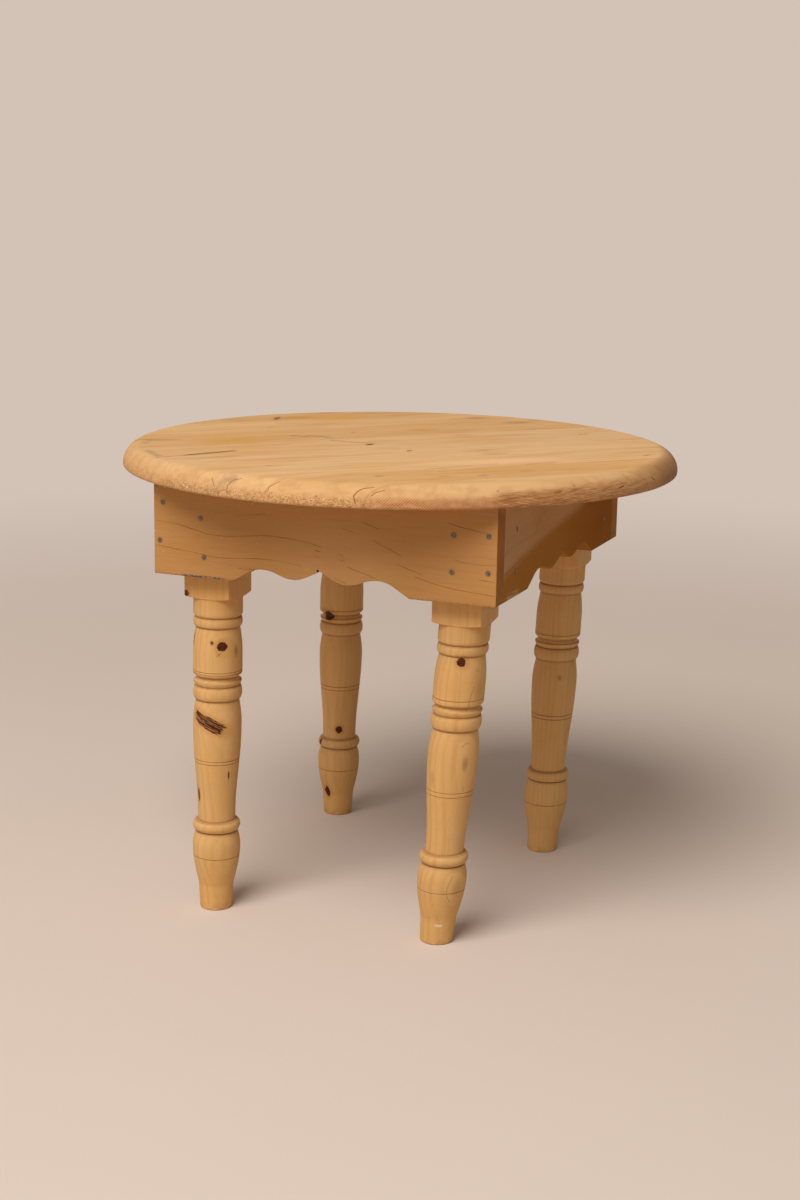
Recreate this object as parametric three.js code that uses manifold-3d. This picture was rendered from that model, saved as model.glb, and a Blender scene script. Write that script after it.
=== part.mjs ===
// Tea table: a round top of glued boards on a nailed frame of scalloped apron boards with four turned legs.
// Millimetres, +Z up, the floor at height zero and the top's centre over the origin. The front faces -Y.
import * as THREE from "three";
import { mergeVertices } from "three/addons/utils/BufferGeometryUtils.js";
import Module from "manifold-3d";

// Fit of the pieces
const fitGap = 0.3;
const cutOverrun = 5;

// Round top
const tableHeight = 535;
const topRadius = 325;
const topThickness = 25;
const topUpperRounding = 21;
const topLowerRounding = 3;
const grainDegrees = 47;
const glueLineShares = [-0.85, -0.63, -0.385, -0.135, 0.18, 0.46, 0.74];

// Frame of apron boards, measured over its outer faces
const frameLength = 406;
const frameDepth = 460;
const apronHeight = 108;
const apronThickness = 24;

// Scalloped lower edge: heights over the pads, widths as shares of half the cut
const longPadLength = 98;
const sidePadLength = 82;
const diagonalRise = 12.5;
const archRise = 16;
const bulgeRise = 8;
const cuspRise = 20.5;
const diagonalShare = 0.8;
const archShare = 0.66;
const bulgeShare = 0.29;
const cuspEaseShare = 0.2;
const archEaseShare = 0.73;

// Leg block
const blockSide = 57;
const blockDrop = 31;
const shoulderRise = 3;

// Turned leg from the block down: heights
const neckHeight = 21.5;
const upperBeadHeight = 10.5;
const barrelHeight = 61;
const barrelShoulder = 32;
const barrelHeel = 8;
const flangeHeight = 8.5;
const fatBeadHeight = 15.5;
const vaseShoulder = 31;
const ringHeight = 13.5;
const ringLevel = 94;
const bulbLevel = 76;
const ankleLevel = 30;
const grooveHeight = 0.8;

// Turned leg from the block down: radii
const neckRadius = 28.4;
const upperBeadRadius = 28.2;
const barrelRadius = 28.4;
const flangeRadius = 27.8;
const fatBeadRadius = 28.3;
const vaseRadius = 28.1;
const waistRadius = 21.5;
const ringRadius = 27.4;
const bulbRadius = 27.6;
const ankleRadius = 20.3;
const footRadius = 18.7;
const neckGrooveRadius = 26.4;
const beadGrooveRadius = 25.2;
const flangeGrooveRadius = 25.6;
const vaseGrooveRadius = 24.8;
const bulbGrooveRadius = 24.3;

// Sideways travel of each foot, as a share of the leg's height under its block
const leanShares = {
  front_left: [0.003, -0.027],
  front_right: [-0.068, -0.001],
  back_left: [-0.024, 0.032],
  back_right: [-0.029, -0.036],
};

// Wire nails
const nailLength = 50;
const nailRadius = 1.3;
const nailHeadRadius = 2.6;
const nailHeadThickness = 1.3;
const nailPoint = 4;
const nailProud = 0.2;

// Nail places at one board's ends. The end is -1 or +1 along the board, across counts inwards over the
// wood that the nail enters, and level counts down from the board's upper edge.
const longNailShares = [
  { end: -1, into: "board", across: 0.48, level: 0.24 },
  { end: -1, into: "board", across: 0.3, level: 0.64 },
  { end: -1, into: "block", across: 0.6, level: 0.375 },
  { end: -1, into: "block", across: 0.67, level: 0.78 },
  { end: 1, into: "block", across: 0.43, level: 0.315 },
  { end: 1, into: "block", across: 0.45, level: 0.685 },
  { end: 1, into: "board", across: 0.4, level: 0.3 },
  { end: 1, into: "board", across: 0.4, level: 0.665 },
];
const sideNailShares = [
  { end: -1, into: "block", across: 0.71, level: 0.315 },
  { end: -1, into: "block", across: 0.68, level: 0.74 },
  { end: 1, into: "block", across: 0.63, level: 0.3 },
  { end: 1, into: "block", across: 0.63, level: 0.7 },
];

// Cleats and their wood screws
const cleatSide = 20;
const cleatScrewShare = 0.7;
const screwLength = 35;
const screwRadius = 2;
const screwHeadRadius = 4;
const screwHeadHeight = 2.6;
const screwPoint = 5;
const slotWidth = 1;
const slotDepth = 1;

// Fineness of round stretches
const rimSegments = 96;
const legSegments = 20;
const nailSegments = 8;
const roundingSteps = 4;
const swellSteps = 3;
const beadSteps = 4;
const easeSteps = 5;
const scallopSteps = 5;

// Heights that follow from the sizes
const topUnderside = tableHeight - topThickness;
const frameTop = topUnderside - fitGap;
const frameBottom = topUnderside - apronHeight;
const blockBottom = frameBottom - blockDrop;
const boardHeight = frameTop - frameBottom;
const legSeat = apronThickness + fitGap;

// Manifold solids from three.js geometry and back
const wasm = await Module();
wasm.setup();

function solidOf(geometry) {
  const bare = geometry.clone();
  bare.deleteAttribute("normal");
  bare.deleteAttribute("uv");
  const merged = mergeVertices(bare);
  return new wasm.Manifold(
    new wasm.Mesh({
      numProp: 3,
      vertProperties: merged.attributes.position.array,
      triVerts: new Uint32Array(merged.index.array),
    }),
  );
}

function geometryOf(solid) {
  const mesh = solid.getMesh();
  const geometry = new THREE.BufferGeometry();
  geometry.setAttribute("position", new THREE.BufferAttribute(mesh.vertProperties, mesh.numProp));
  geometry.setIndex(new THREE.BufferAttribute(mesh.triVerts, 1));
  geometry.computeVertexNormals();
  return geometry;
}

// A solid of revolution about Z from [radius, height] points that run upwards
function turned(points, segments) {
  const profile = points.map(([radius, height]) => new THREE.Vector2(radius, height));
  return new THREE.LatheGeometry(profile, segments).rotateX(Math.PI / 2);
}

function box(low, high) {
  const size = new THREE.Vector3().subVectors(high, low);
  const centre = new THREE.Vector3().addVectors(low, high).divideScalar(2);
  return new THREE.BoxGeometry(size.x, size.y, size.z).translate(centre.x, centre.y, centre.z);
}

// Looks of the wood and the metal
function material(color, roughness, metalness) {
  return new THREE.MeshStandardMaterial({ color, roughness, metalness, flatShading: true });
}

const topWood = material(0xd6a869, 0.6, 0);
const apronWood = material(0xa87441, 0.55, 0);
const legWood = material(0xdcb377, 0.55, 0);
const cleatWood = material(0xc79f6b, 0.7, 0);
const woods = [topWood, apronWood, legWood, cleatWood];
const nailSteel = material(0x77736c, 0.45, 0.9);
const screwSteel = material(0x8f8c84, 0.35, 0.9);

function named(name, geometry, look) {
  const mesh = new THREE.Mesh(geometry, look);
  mesh.name = name;
  return mesh;
}

// Round top, cut into boards along its glue lines
function topDisc() {
  const points = [[0, 0], [topRadius - topLowerRounding, 0]];
  for (let i = 1; i <= roundingSteps; i += 1) {
    const angle = (Math.PI / 2) * (i / roundingSteps);
    const radius = topRadius - topLowerRounding * (1 - Math.sin(angle));
    points.push([radius, topLowerRounding * (1 - Math.cos(angle))]);
  }
  for (let i = 0; i <= roundingSteps; i += 1) {
    const angle = (Math.PI / 2) * (i / roundingSteps);
    const radius = topRadius - topUpperRounding * (1 - Math.cos(angle));
    points.push([radius, topThickness - topUpperRounding * (1 - Math.sin(angle))]);
  }
  points.push([0, topThickness]);
  return solidOf(turned(points, rimSegments));
}

function makeTop() {
  const group = new THREE.Group();
  group.position.z = topUnderside;
  group.rotation.z = THREE.MathUtils.degToRad(grainDegrees);
  const disc = topDisc();
  const reach = topRadius + cutOverrun;
  const lines = glueLineShares.map((share) => share * topRadius);
  const lowSides = [-reach, ...lines.map((line) => line + fitGap / 2)];
  const highSides = [...lines.map((line) => line - fitGap / 2), reach];
  lowSides.forEach((low, i) => {
    const slab = box(
      new THREE.Vector3(-reach, low, -cutOverrun),
      new THREE.Vector3(reach, highSides[i], topThickness + cutOverrun),
    );
    const plank = disc.intersect(solidOf(slab));
    group.add(named(`top_plank_${i + 1}`, geometryOf(plank), topWood));
  });
  return group;
}

// Scalloped board. Its outer face is at y = 0 and faces -Y, its pads stand at z = 0.
function boardGeometry(halfLength, padLength) {
  const halfCut = halfLength - padLength;
  const diagonal = halfCut * diagonalShare;
  const arch = halfCut * archShare;
  const bulge = halfCut * bulgeShare;
  const turn = (arch + bulge) / 2;
  const edge = new THREE.Path();
  edge.moveTo(0, cuspRise);
  edge.quadraticCurveTo(halfCut * cuspEaseShare, bulgeRise, bulge, bulgeRise);
  edge.bezierCurveTo(turn, bulgeRise, turn, archRise, arch, archRise);
  edge.quadraticCurveTo(halfCut * archEaseShare, archRise, diagonal, diagonalRise);
  edge.lineTo(halfCut, 0);
  edge.lineTo(halfLength, 0);
  edge.lineTo(halfLength, boardHeight);
  const right = edge.getPoints(scallopSteps);
  const left = right.slice(1).map((p) => new THREE.Vector2(-p.x, p.y)).reverse();
  const shape = new THREE.Shape([...left, ...right]);
  const solid = new THREE.ExtrudeGeometry(shape, { depth: apronThickness, bevelEnabled: false });
  return solid.rotateX(Math.PI / 2).translate(0, apronThickness, 0);
}

// Nail driven along +Y from the board's face at y = 0, where its head stands a little proud
function nailGeometry() {
  const neck = nailHeadThickness - nailProud;
  const points = [
    [0, -nailProud],
    [nailHeadRadius, -nailProud],
    [nailHeadRadius, neck],
    [nailRadius, neck],
    [nailRadius, nailLength - nailPoint],
    [0, nailLength],
  ];
  return alongY(points);
}

// Stepped hole that clears the nail
function nailHoleGeometry() {
  const seat = nailHeadThickness - nailProud + fitGap;
  const points = [
    [0, -cutOverrun],
    [nailHeadRadius + fitGap, -cutOverrun],
    [nailHeadRadius + fitGap, seat],
    [nailRadius + fitGap, seat],
    [nailRadius + fitGap, nailLength + fitGap],
    [0, nailLength + fitGap],
  ];
  return alongY(points);
}

// A turned solid laid from its own +Z onto +Y
function alongY(points) {
  return turned(points, nailSegments).rotateX(-Math.PI / 2);
}

// Side of a countersunk wood screw that points up from its head's face at z = 0, widened by a gap
function screwSide(gap) {
  return [
    [screwHeadRadius + gap, 0],
    [screwRadius + gap, screwHeadHeight],
    [screwRadius + gap, screwLength - screwPoint],
    [0, screwLength + gap],
  ];
}

function screwGeometry() {
  const body = solidOf(turned([[0, 0], ...screwSide(0)], nailSegments));
  const slot = box(
    new THREE.Vector3(-screwHeadRadius, -slotWidth / 2, -cutOverrun),
    new THREE.Vector3(screwHeadRadius, slotWidth / 2, slotDepth),
  );
  return geometryOf(body.subtract(solidOf(slot)));
}

function screwHoleGeometry() {
  const mouth = [
    [0, -cutOverrun],
    [screwHeadRadius + fitGap, -cutOverrun],
  ];
  return turned([...mouth, ...screwSide(fitGap)], nailSegments);
}

// One side of the frame: the board, its nails, and the cleat behind it with two screws
function makeSide(name, sizes) {
  const group = new THREE.Group();
  const board = boardGeometry(sizes.halfLength, sizes.padLength);
  group.add(named(`apron_${name}`, board, apronWood));

  const blockStart = sizes.halfSpan - legSeat;
  sizes.nails.forEach((nail, i) => {
    const mesh = named(`apron_${name}_nail_${i + 1}`, nailGeometry(), nailSteel);
    const overBoard = sizes.halfSpan - apronThickness * nail.across;
    const overBlock = blockStart - blockSide * nail.across;
    const across = nail.into === "board" ? overBoard : overBlock;
    mesh.position.set(nail.end * across, 0, boardHeight - apronHeight * nail.level);
    mesh.userData.hole = nailHoleGeometry();
    group.add(mesh);
  });

  const cleatHalf = blockStart - blockSide - fitGap;
  const cleatFace = apronThickness + fitGap;
  const cleatFoot = boardHeight - cleatSide;
  const cleat = box(
    new THREE.Vector3(-cleatHalf, cleatFace, cleatFoot),
    new THREE.Vector3(cleatHalf, cleatFace + cleatSide, boardHeight),
  );
  group.add(named(`cleat_${name}`, cleat, cleatWood));

  [-1, 1].forEach((end, i) => {
    const screw = named(`cleat_${name}_screw_${i + 1}`, screwGeometry(), screwSteel);
    screw.position.set(end * cleatHalf * cleatScrewShare, cleatFace + cleatSide / 2, cleatFoot);
    screw.userData.hole = screwHoleGeometry();
    group.add(screw);
  });
  return group;
}

// Profile stretches of the turned leg. Each adds [radius, level] points and runs downwards.
function swell(points, from, to) {
  for (let i = 1; i <= swellSteps; i += 1) {
    const t = i / swellSteps;
    const radius = from[0] + (to[0] - from[0]) * Math.sin((Math.PI / 2) * t);
    points.push([radius, from[1] + (to[1] - from[1]) * t]);
  }
}

function shrink(points, from, to) {
  for (let i = 1; i <= swellSteps; i += 1) {
    const t = i / swellSteps;
    const radius = to[0] + (from[0] - to[0]) * Math.cos((Math.PI / 2) * t);
    points.push([radius, from[1] + (to[1] - from[1]) * t]);
  }
}

function ease(points, from, to) {
  for (let i = 1; i <= easeSteps; i += 1) {
    const t = i / easeSteps;
    const blend = (1 + Math.cos(Math.PI * t)) / 2;
    points.push([to[0] + (from[0] - to[0]) * blend, from[1] + (to[1] - from[1]) * t]);
  }
}

function bead(points, crown, from, to) {
  for (let i = 1; i <= beadSteps; i += 1) {
    const angle = Math.PI * (i / beadSteps);
    const root = i === beadSteps ? to[0] : from[0];
    const radius = root + (crown - root) * Math.sin(angle);
    points.push([radius, (from[1] + to[1] + (from[1] - to[1]) * Math.cos(angle)) / 2]);
  }
}

// Turned part of the leg from the floor to the block
function turnedLeg() {
  const neckEnd = blockBottom - neckHeight;
  const beadEnd = neckEnd - upperBeadHeight;
  const barrelEnd = beadEnd - barrelHeight;
  const flangeEnd = barrelEnd - flangeHeight;
  const fatBeadEnd = flangeEnd - fatBeadHeight;
  const ringTop = ringLevel + ringHeight;
  const points = [[0, blockBottom + cutOverrun]];
  points.push([neckRadius, blockBottom + cutOverrun]);
  points.push([neckRadius, neckEnd + grooveHeight]);
  points.push([neckGrooveRadius, neckEnd]);
  bead(points, upperBeadRadius, [neckGrooveRadius, neckEnd], [beadGrooveRadius, beadEnd]);
  swell(points, [beadGrooveRadius, beadEnd], [barrelRadius, beadEnd - barrelShoulder]);
  points.push([barrelRadius, barrelEnd + barrelHeel]);
  shrink(points, [barrelRadius, barrelEnd + barrelHeel], [beadGrooveRadius, barrelEnd]);
  bead(points, flangeRadius, [beadGrooveRadius, barrelEnd], [flangeGrooveRadius, flangeEnd]);
  bead(points, fatBeadRadius, [flangeGrooveRadius, flangeEnd], [vaseGrooveRadius, fatBeadEnd]);
  swell(points, [vaseGrooveRadius, fatBeadEnd], [vaseRadius, fatBeadEnd - vaseShoulder]);
  ease(points, [vaseRadius, fatBeadEnd - vaseShoulder], [waistRadius, ringTop]);
  bead(points, ringRadius, [waistRadius, ringTop], [bulbGrooveRadius, ringLevel]);
  swell(points, [bulbGrooveRadius, ringLevel], [bulbRadius, bulbLevel]);
  shrink(points, [bulbRadius, bulbLevel], [ankleRadius, ankleLevel]);
  points.push([footRadius, 0], [0, 0]);
  return turned(points.reverse(), legSegments);
}

// Square block with its lower corners turned off in a flat cone
function legBlock() {
  const half = blockSide / 2;
  const square = box(
    new THREE.Vector3(-half, -half, blockBottom),
    new THREE.Vector3(half, half, frameTop),
  );
  const corner = half * Math.SQRT2 + fitGap;
  const cone = turned(
    [
      [0, blockBottom],
      [half, blockBottom],
      [corner, blockBottom + shoulderRise],
      [corner, frameTop + cutOverrun],
      [0, frameTop + cutOverrun],
    ],
    legSegments,
  );
  return solidOf(square).intersect(solidOf(cone));
}

// Below its block the leg leans: each level is moved sideways in step with its depth
function leaning(geometry, shares) {
  const position = geometry.getAttribute("position");
  for (let i = 0; i < position.count; i += 1) {
    const depth = Math.max(blockBottom - position.getZ(i), 0);
    position.setX(i, position.getX(i) + depth * shares[0]);
    position.setY(i, position.getY(i) + depth * shares[1]);
  }
  geometry.computeVertexNormals();
  return geometry;
}

function makeLeg(name, sideX, sideY) {
  const solid = legBlock().add(solidOf(turnedLeg()));
  const leg = named(`leg_${name}`, leaning(geometryOf(solid), leanShares[name]), legWood);
  leg.position.x = sideX * (frameLength / 2 - legSeat - blockSide / 2);
  leg.position.y = sideY * (frameDepth / 2 - legSeat - blockSide / 2);
  return leg;
}

// Frame and legs
function makeBase() {
  const base = new THREE.Group();
  const long = {
    halfLength: frameLength / 2,
    halfSpan: frameLength / 2,
    padLength: longPadLength,
    nails: longNailShares,
  };
  const side = {
    halfLength: frameDepth / 2 - legSeat,
    halfSpan: frameDepth / 2,
    padLength: sidePadLength,
    nails: sideNailShares,
  };
  const places = [
    ["front", long, 0, -frameDepth / 2, 0],
    ["back", long, 0, frameDepth / 2, Math.PI],
    ["right", side, frameLength / 2, 0, Math.PI / 2],
    ["left", side, -frameLength / 2, 0, -Math.PI / 2],
  ];
  places.forEach(([name, sizes, x, y, turn]) => {
    const group = makeSide(name, sizes);
    group.position.set(x, y, frameBottom);
    group.rotation.z = turn;
    base.add(group);
  });
  base.add(makeLeg("front_left", -1, -1));
  base.add(makeLeg("front_right", 1, -1));
  base.add(makeLeg("back_left", -1, 1));
  base.add(makeLeg("back_right", 1, 1));
  return base;
}

// Every wooden piece loses the holes of the nails and screws that pass through it
function drill(table) {
  table.updateMatrixWorld(true);
  const holes = [];
  const pieces = [];
  table.traverse((item) => {
    if (item.userData.hole) holes.push(item.userData.hole.applyMatrix4(item.matrixWorld));
    if (woods.includes(item.material)) pieces.push(item);
  });
  pieces.forEach((piece) => {
    const inverse = piece.matrixWorld.clone().invert();
    const local = holes.map((hole) => solidOf(hole.clone().applyMatrix4(inverse)));
    const drilled = local.reduce((solid, hole) => solid.subtract(hole), solidOf(piece.geometry));
    piece.geometry = geometryOf(drilled);
  });
}

const table = new THREE.Group();
table.add(makeTop());
table.add(makeBase());
drill(table);

export default table;
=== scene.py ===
"""Tea table of pale pine: a round glued top on a nailed frame of scalloped boards with four turned legs.

Lengths are in millimetres. Meshes are built in millimetres and scaled to metres as they are made.
"""

import math

import bmesh
import bpy
from mathutils import Matrix, Vector, noise


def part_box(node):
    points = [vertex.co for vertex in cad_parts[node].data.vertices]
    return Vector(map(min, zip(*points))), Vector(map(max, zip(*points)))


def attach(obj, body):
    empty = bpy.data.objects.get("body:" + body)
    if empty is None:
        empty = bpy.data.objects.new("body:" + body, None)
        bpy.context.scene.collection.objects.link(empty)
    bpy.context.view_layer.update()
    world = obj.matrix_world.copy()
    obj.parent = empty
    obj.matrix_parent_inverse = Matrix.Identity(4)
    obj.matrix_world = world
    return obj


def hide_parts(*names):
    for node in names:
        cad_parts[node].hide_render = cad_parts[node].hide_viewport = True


MM = 0.001
TURN = 2 * math.pi

# Round top
TOP_RADIUS = 324.8
TOP_THICKNESS = 25
TOP_LEVEL = 535
UPPER_ROUNDING = 21
LOWER_ROUNDING = 3
FLAT_RADIUS = TOP_RADIUS - UPPER_ROUNDING
ROUNDING_LEVEL = TOP_THICKNESS - UPPER_ROUNDING
GRAIN_DEGREES = 47
GLUE_LINE_SHARES = (-0.85, -0.63, -0.385, -0.135, 0.18, 0.46, 0.74)
GLUE_GAP = 0.08
SEAM_EASE = 0.45
SEAM_DEPTH = 0.16

# Wear of the round top. A wave is a depth and a length, a fade where it begins and where it is full.
TOP_WAVE = (0.3, 90)
RIM_WAVE = (1.0, 58)
RIM_CHIP = 0.9
RIM_CHIP_LENGTH = 9
RIM_FADE = (FLAT_RADIUS - 6, TOP_RADIUS - 2)
SAWN_CUT = 1.2
SAWN_FADE = (15, 6)
SAWN_BAND = 9
SAW_PITCH = 3.2
TORN_RIDGE = 0.9
TORN_RIDGE_LENGTH = 34
TORN_RIDGE_WIDTH = 3.2
TORN_SLOPE_SHARE = 0.1
CROSSED_SLOPE_SHARE = -0.2
FINE_TEAR_SHARE = 0.4
CRACK_DEPTH = 1.0
CRACK_MARGIN = 1.6
CRACK_ROUNDS = 2

# Stretches of the rim, in degrees round from the grain: first, last, and how far each end fades
SAWN_CUT_STRETCH = (234, 272, 10)
SAWN_STRETCH = (235, 272, 10)
PITTED_STRETCH = (188, 245, 10)
TORN_STRETCH = (261, 307, 8)
# Painted shade: the rim's right end, darkened with the torn colour
RIM_PAINTED_SHADE_STRETCH = (292, 350, 25)

# Frame of apron boards
FRAME_LENGTH = 406
FRAME_DEPTH = 460
FRAME_TOP = 509.7
FRAME_BOTTOM = 402
FRAME_HEIGHT = FRAME_TOP - FRAME_BOTTOM
BOARD_THICKNESS = 24
BOARD_EASE = 0.9
BOARD_WAVE = (0.22, 70)
LEG_SEAT = 24.3

# Scalloped lower edge
LONG_PAD = 98
SIDE_PAD = 82
DIAGONAL_RISE = 12.5
ARCH_RISE = 16
BULGE_RISE = 8
CUSP_RISE = 20.5
DIAGONAL_SHARE = 0.8
ARCH_SHARE = 0.66
BULGE_SHARE = 0.29
CUSP_EASE_SHARE = 0.2
ARCH_EASE_SHARE = 0.73
SAW_TEAR = 0.8
SAW_TEAR_LENGTH = 3.4
SAW_TEAR_FADE = 4
PLAIN_TEAR_SHARE = 0.3

# Legs: the square block, then marks down the turned part as (radius, level)
BLOCK_SIDE = 57
BLOCK_BOTTOM = 371
BLOCK_EASE = 1.2
SHOULDER_RISE = 3
SHOULDER_STEPS = 5
LEG_WAVE = (0.25, 45)
NECK_RADIUS = 28.4
BARREL_RADIUS = 28.4
UPPER_BEAD_RADIUS = 28.2
FAT_BEAD_RADIUS = 28.3
RING_RADIUS = 27.4
NECK_FOOT = (NECK_RADIUS, 353)
NECK_GROOVE = (25.9, 348.6)
BEAD_GROOVE = (25.2, 337.3)
BARREL_BELLY = (BARREL_RADIUS, 307)
BARREL_HEEL = (BARREL_RADIUS, 283)
BARREL_GROOVE = (24.2, 278.8)
FLANGE = (27.8, 273.8)
FLANGE_GROOVE = (25.4, 268)
VASE_GROOVE = (24.8, 252)
VASE = (28.1, 223)
WAIST = (21.5, 107.5)
RING_GROOVE = (24.3, 94)
BULB = (27.6, 76)
ANKLE = (20.3, 30)
FOOT = (18.7, 1.2)
GROOVES = (NECK_GROOVE, BEAD_GROOVE, BARREL_GROOVE, FLANGE_GROOVE, VASE_GROOVE, WAIST, RING_GROOVE)
SCRIBE_DEPTH = 0.4
SCRIBE_WIDTH = 0.45

# Relief of the knots on the legs
KNOT_SINK = 0.3
KNOT_MARGIN = 1.5
KNOT_STEP = 0.6
BARK_SINK = 0.7
BARK_STREAK_LENGTH = 9
BARK_STREAK_WIDTH = 1.3

# Nails and screws
NAIL_LENGTH = 50
NAIL_RADIUS = 1.3
NAIL_HEAD_RADIUS = 2.6
NAIL_HEAD_THICKNESS = 1.3
NAIL_HEAD_EASE = 0.3
NAIL_DOME = 0.12
NAIL_POINT = 4
NAIL_PROUD = 0.2
NAIL_DIMPLE = 0.3
NAIL_DIMPLE_RADIUS = 5.5
NAIL_SPIN = 73
SCREW_LENGTH = 35
SCREW_RADIUS = 2
SCREW_HEAD_RADIUS = 4
SCREW_HEAD_HEIGHT = 2.6
SCREW_POINT = 5
SCREW_SPIN = 37
SLOT_WIDTH = 1
SLOT_DEPTH = 1
SLOT_OVERRUN = 1
POINT_SHARE = 1 / 5

# Fineness of the meshes
TOP_STEP = 3
TOP_STEP_SLACK = 1.15
RIM_SEGMENTS = 1536
LEAST_SEGMENTS = 48
RIM_STEPS = 24
LOWER_RIM_STEPS = 4
UNDERSIDE_STEP = 12
BOARD_STEP = 1.6
BOARD_ROWS = 27
EASE_STEPS = 3
LEG_SEGMENTS = 96
LEG_STEP = 1.3
BEAD_STEPS = 14
NAIL_SEGMENTS = 24
SHARP_DEGREES = 35

# Studio: floor and lamp in metres, directions as azimuth and elevation in degrees
FLOOR_SIZE = 60
FLOOR_FADE = (0.9, 3.2)
KEY_FROM = (-97, 52)
KEY_DISTANCE = 6.5
KEY_SIZE = 4.2
KEY_POWER = 378
KEY_COLOR = (1.0, 0.98, 0.945)
FILL_FROM = (-125, 35)
FILL_STRENGTHS = (0.07, 0.43)
FILL_COLOR = (1.0, 0.915, 0.80, 1)

# Camera of the photograph
CAMERA_PLACE = (850.27, -2114.15, 846.52)
CAMERA_AZIMUTH = 21.85
CAMERA_PITCH = 12.4
CAMERA_ROLL = 0.97
CAMERA_FOCUS_PIXELS = 1945.48
PHOTO_HEIGHT = 1200
SENSOR_HEIGHT = 36

# Colours, written as they look on a screen
APRON = (182, 134, 82)
SIDE_BOARD = (191, 152, 111)
SIDE_HEART = (167, 113, 52)
SIDE_HEART_PAINTED_SHADE = (151, 95, 38)
END_GRAIN = (204, 160, 110)
END_PAINTED_SHADE = (130, 88, 38)
APRON_WARM = (178, 126, 68)
LEG_WARM = (216, 164, 96)
BLOCK_TONE_AND_LIGHT = (232, 168, 98)
FRONT_PAINTED_LIGHT = (204, 158, 106)
BROWN = (178, 128, 78)
RIM_BROWN = (166, 114, 66)
RIM_PALE = (206, 162, 114)
SAWN = (196, 134, 88)
SAWN_LINE = (156, 94, 54)
TORN_BASE = (162, 106, 62)
TORN_DARK_AND_SHADE = (128, 80, 42)
TORN_PALE = (216, 164, 112)
CHECK = (140, 84, 46)
PIT = (170, 108, 56)
LEG_KNOT = ((50, 24, 10), (92, 48, 22))
TOP_KNOT = ((112, 62, 24), (158, 98, 44))
KNOT_HALO = (184, 124, 66)
BARK_DARK = (70, 34, 16)
BARK_PALE = (172, 120, 74)
GRAIN_LINE = (122, 76, 42)
DIRT = (140, 112, 84)
CRACK = (84, 62, 44)
SMUDGE = (122, 88, 58)
SCRIBED = (146, 98, 56)
SAW_FLECK = (84, 80, 86)
CHALK = (236, 228, 216)
SCUFF = (172, 148, 122)
NAIL_STEEL = (124, 117, 109)
SCREW_STEEL = (150, 147, 142)
STEEL_DARK = (72, 66, 60)
RUST = (112, 78, 54)
FLOOR = (216, 200, 189)
BACKDROP = (211, 195, 183)
FLOOR_CLOUD_SHARE = 0.97

# Tints that darken by multiplying, as linear shares
BAND_TINT = (0.88, 0.80, 0.70, 1)
STREAK_TINT = (0.80, 0.71, 0.60, 1)
FIBRE_TINT = (0.87, 0.82, 0.75, 1)

# Sheen of bare wood, and the bump of each kind of surface
WOOD_SHINE = 0.1
STEEL_SHINE = 0.5
STEEL_METAL = 0.7
BUMPS = {"top": 0.22, "apron": 0.2, "leg": 0.2, "cleat": 0.3, "steel": 0.08, "floor": 0.1}

# Woods: wander of the rings, where the late wood of a ring begins, colours, and the strengths of warm
# patches, bands and streaks. Where a pith, ring gap or contrast is missing, each piece has its own.
WOODS = {
    "top": dict(
        wander=34, early=0.25, late=(194, 142, 86), warm=(211, 157, 95), end=END_GRAIN,
        patch=0.6, bands=0.6, streaks=0.35,
    ),
    "apron": dict(
        wander=70, gap=13, early=0.8, late=GRAIN_LINE, warm=APRON_WARM, end=(160, 106, 48),
        patch=0.4, bands=0.3, streaks=0.18,
    ),
    "leg": dict(
        wander=16, early=0.35, pale=(211, 167, 109), late=(186, 134, 76), warm=LEG_WARM, end=END_GRAIN,
        patch=0.65, bands=0.35, streaks=0.3,
    ),
    "cleat": dict(
        wander=30, pith=(60, 470), gap=5, early=0.4, contrast=0.6, pale=(206, 164, 116), late=(170, 120, 74),
        warm=APRON_WARM, patch=0.4, bands=0.5, streaks=0.5,
    ),
}
APRON_PITH = (-30, 20)
APRON_PITH_STEP = (-6, 9)
APRON_CONTRASTS = {"front": 0.07, "right": 0.12, "back": 0.28, "left": 0.28}

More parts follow.
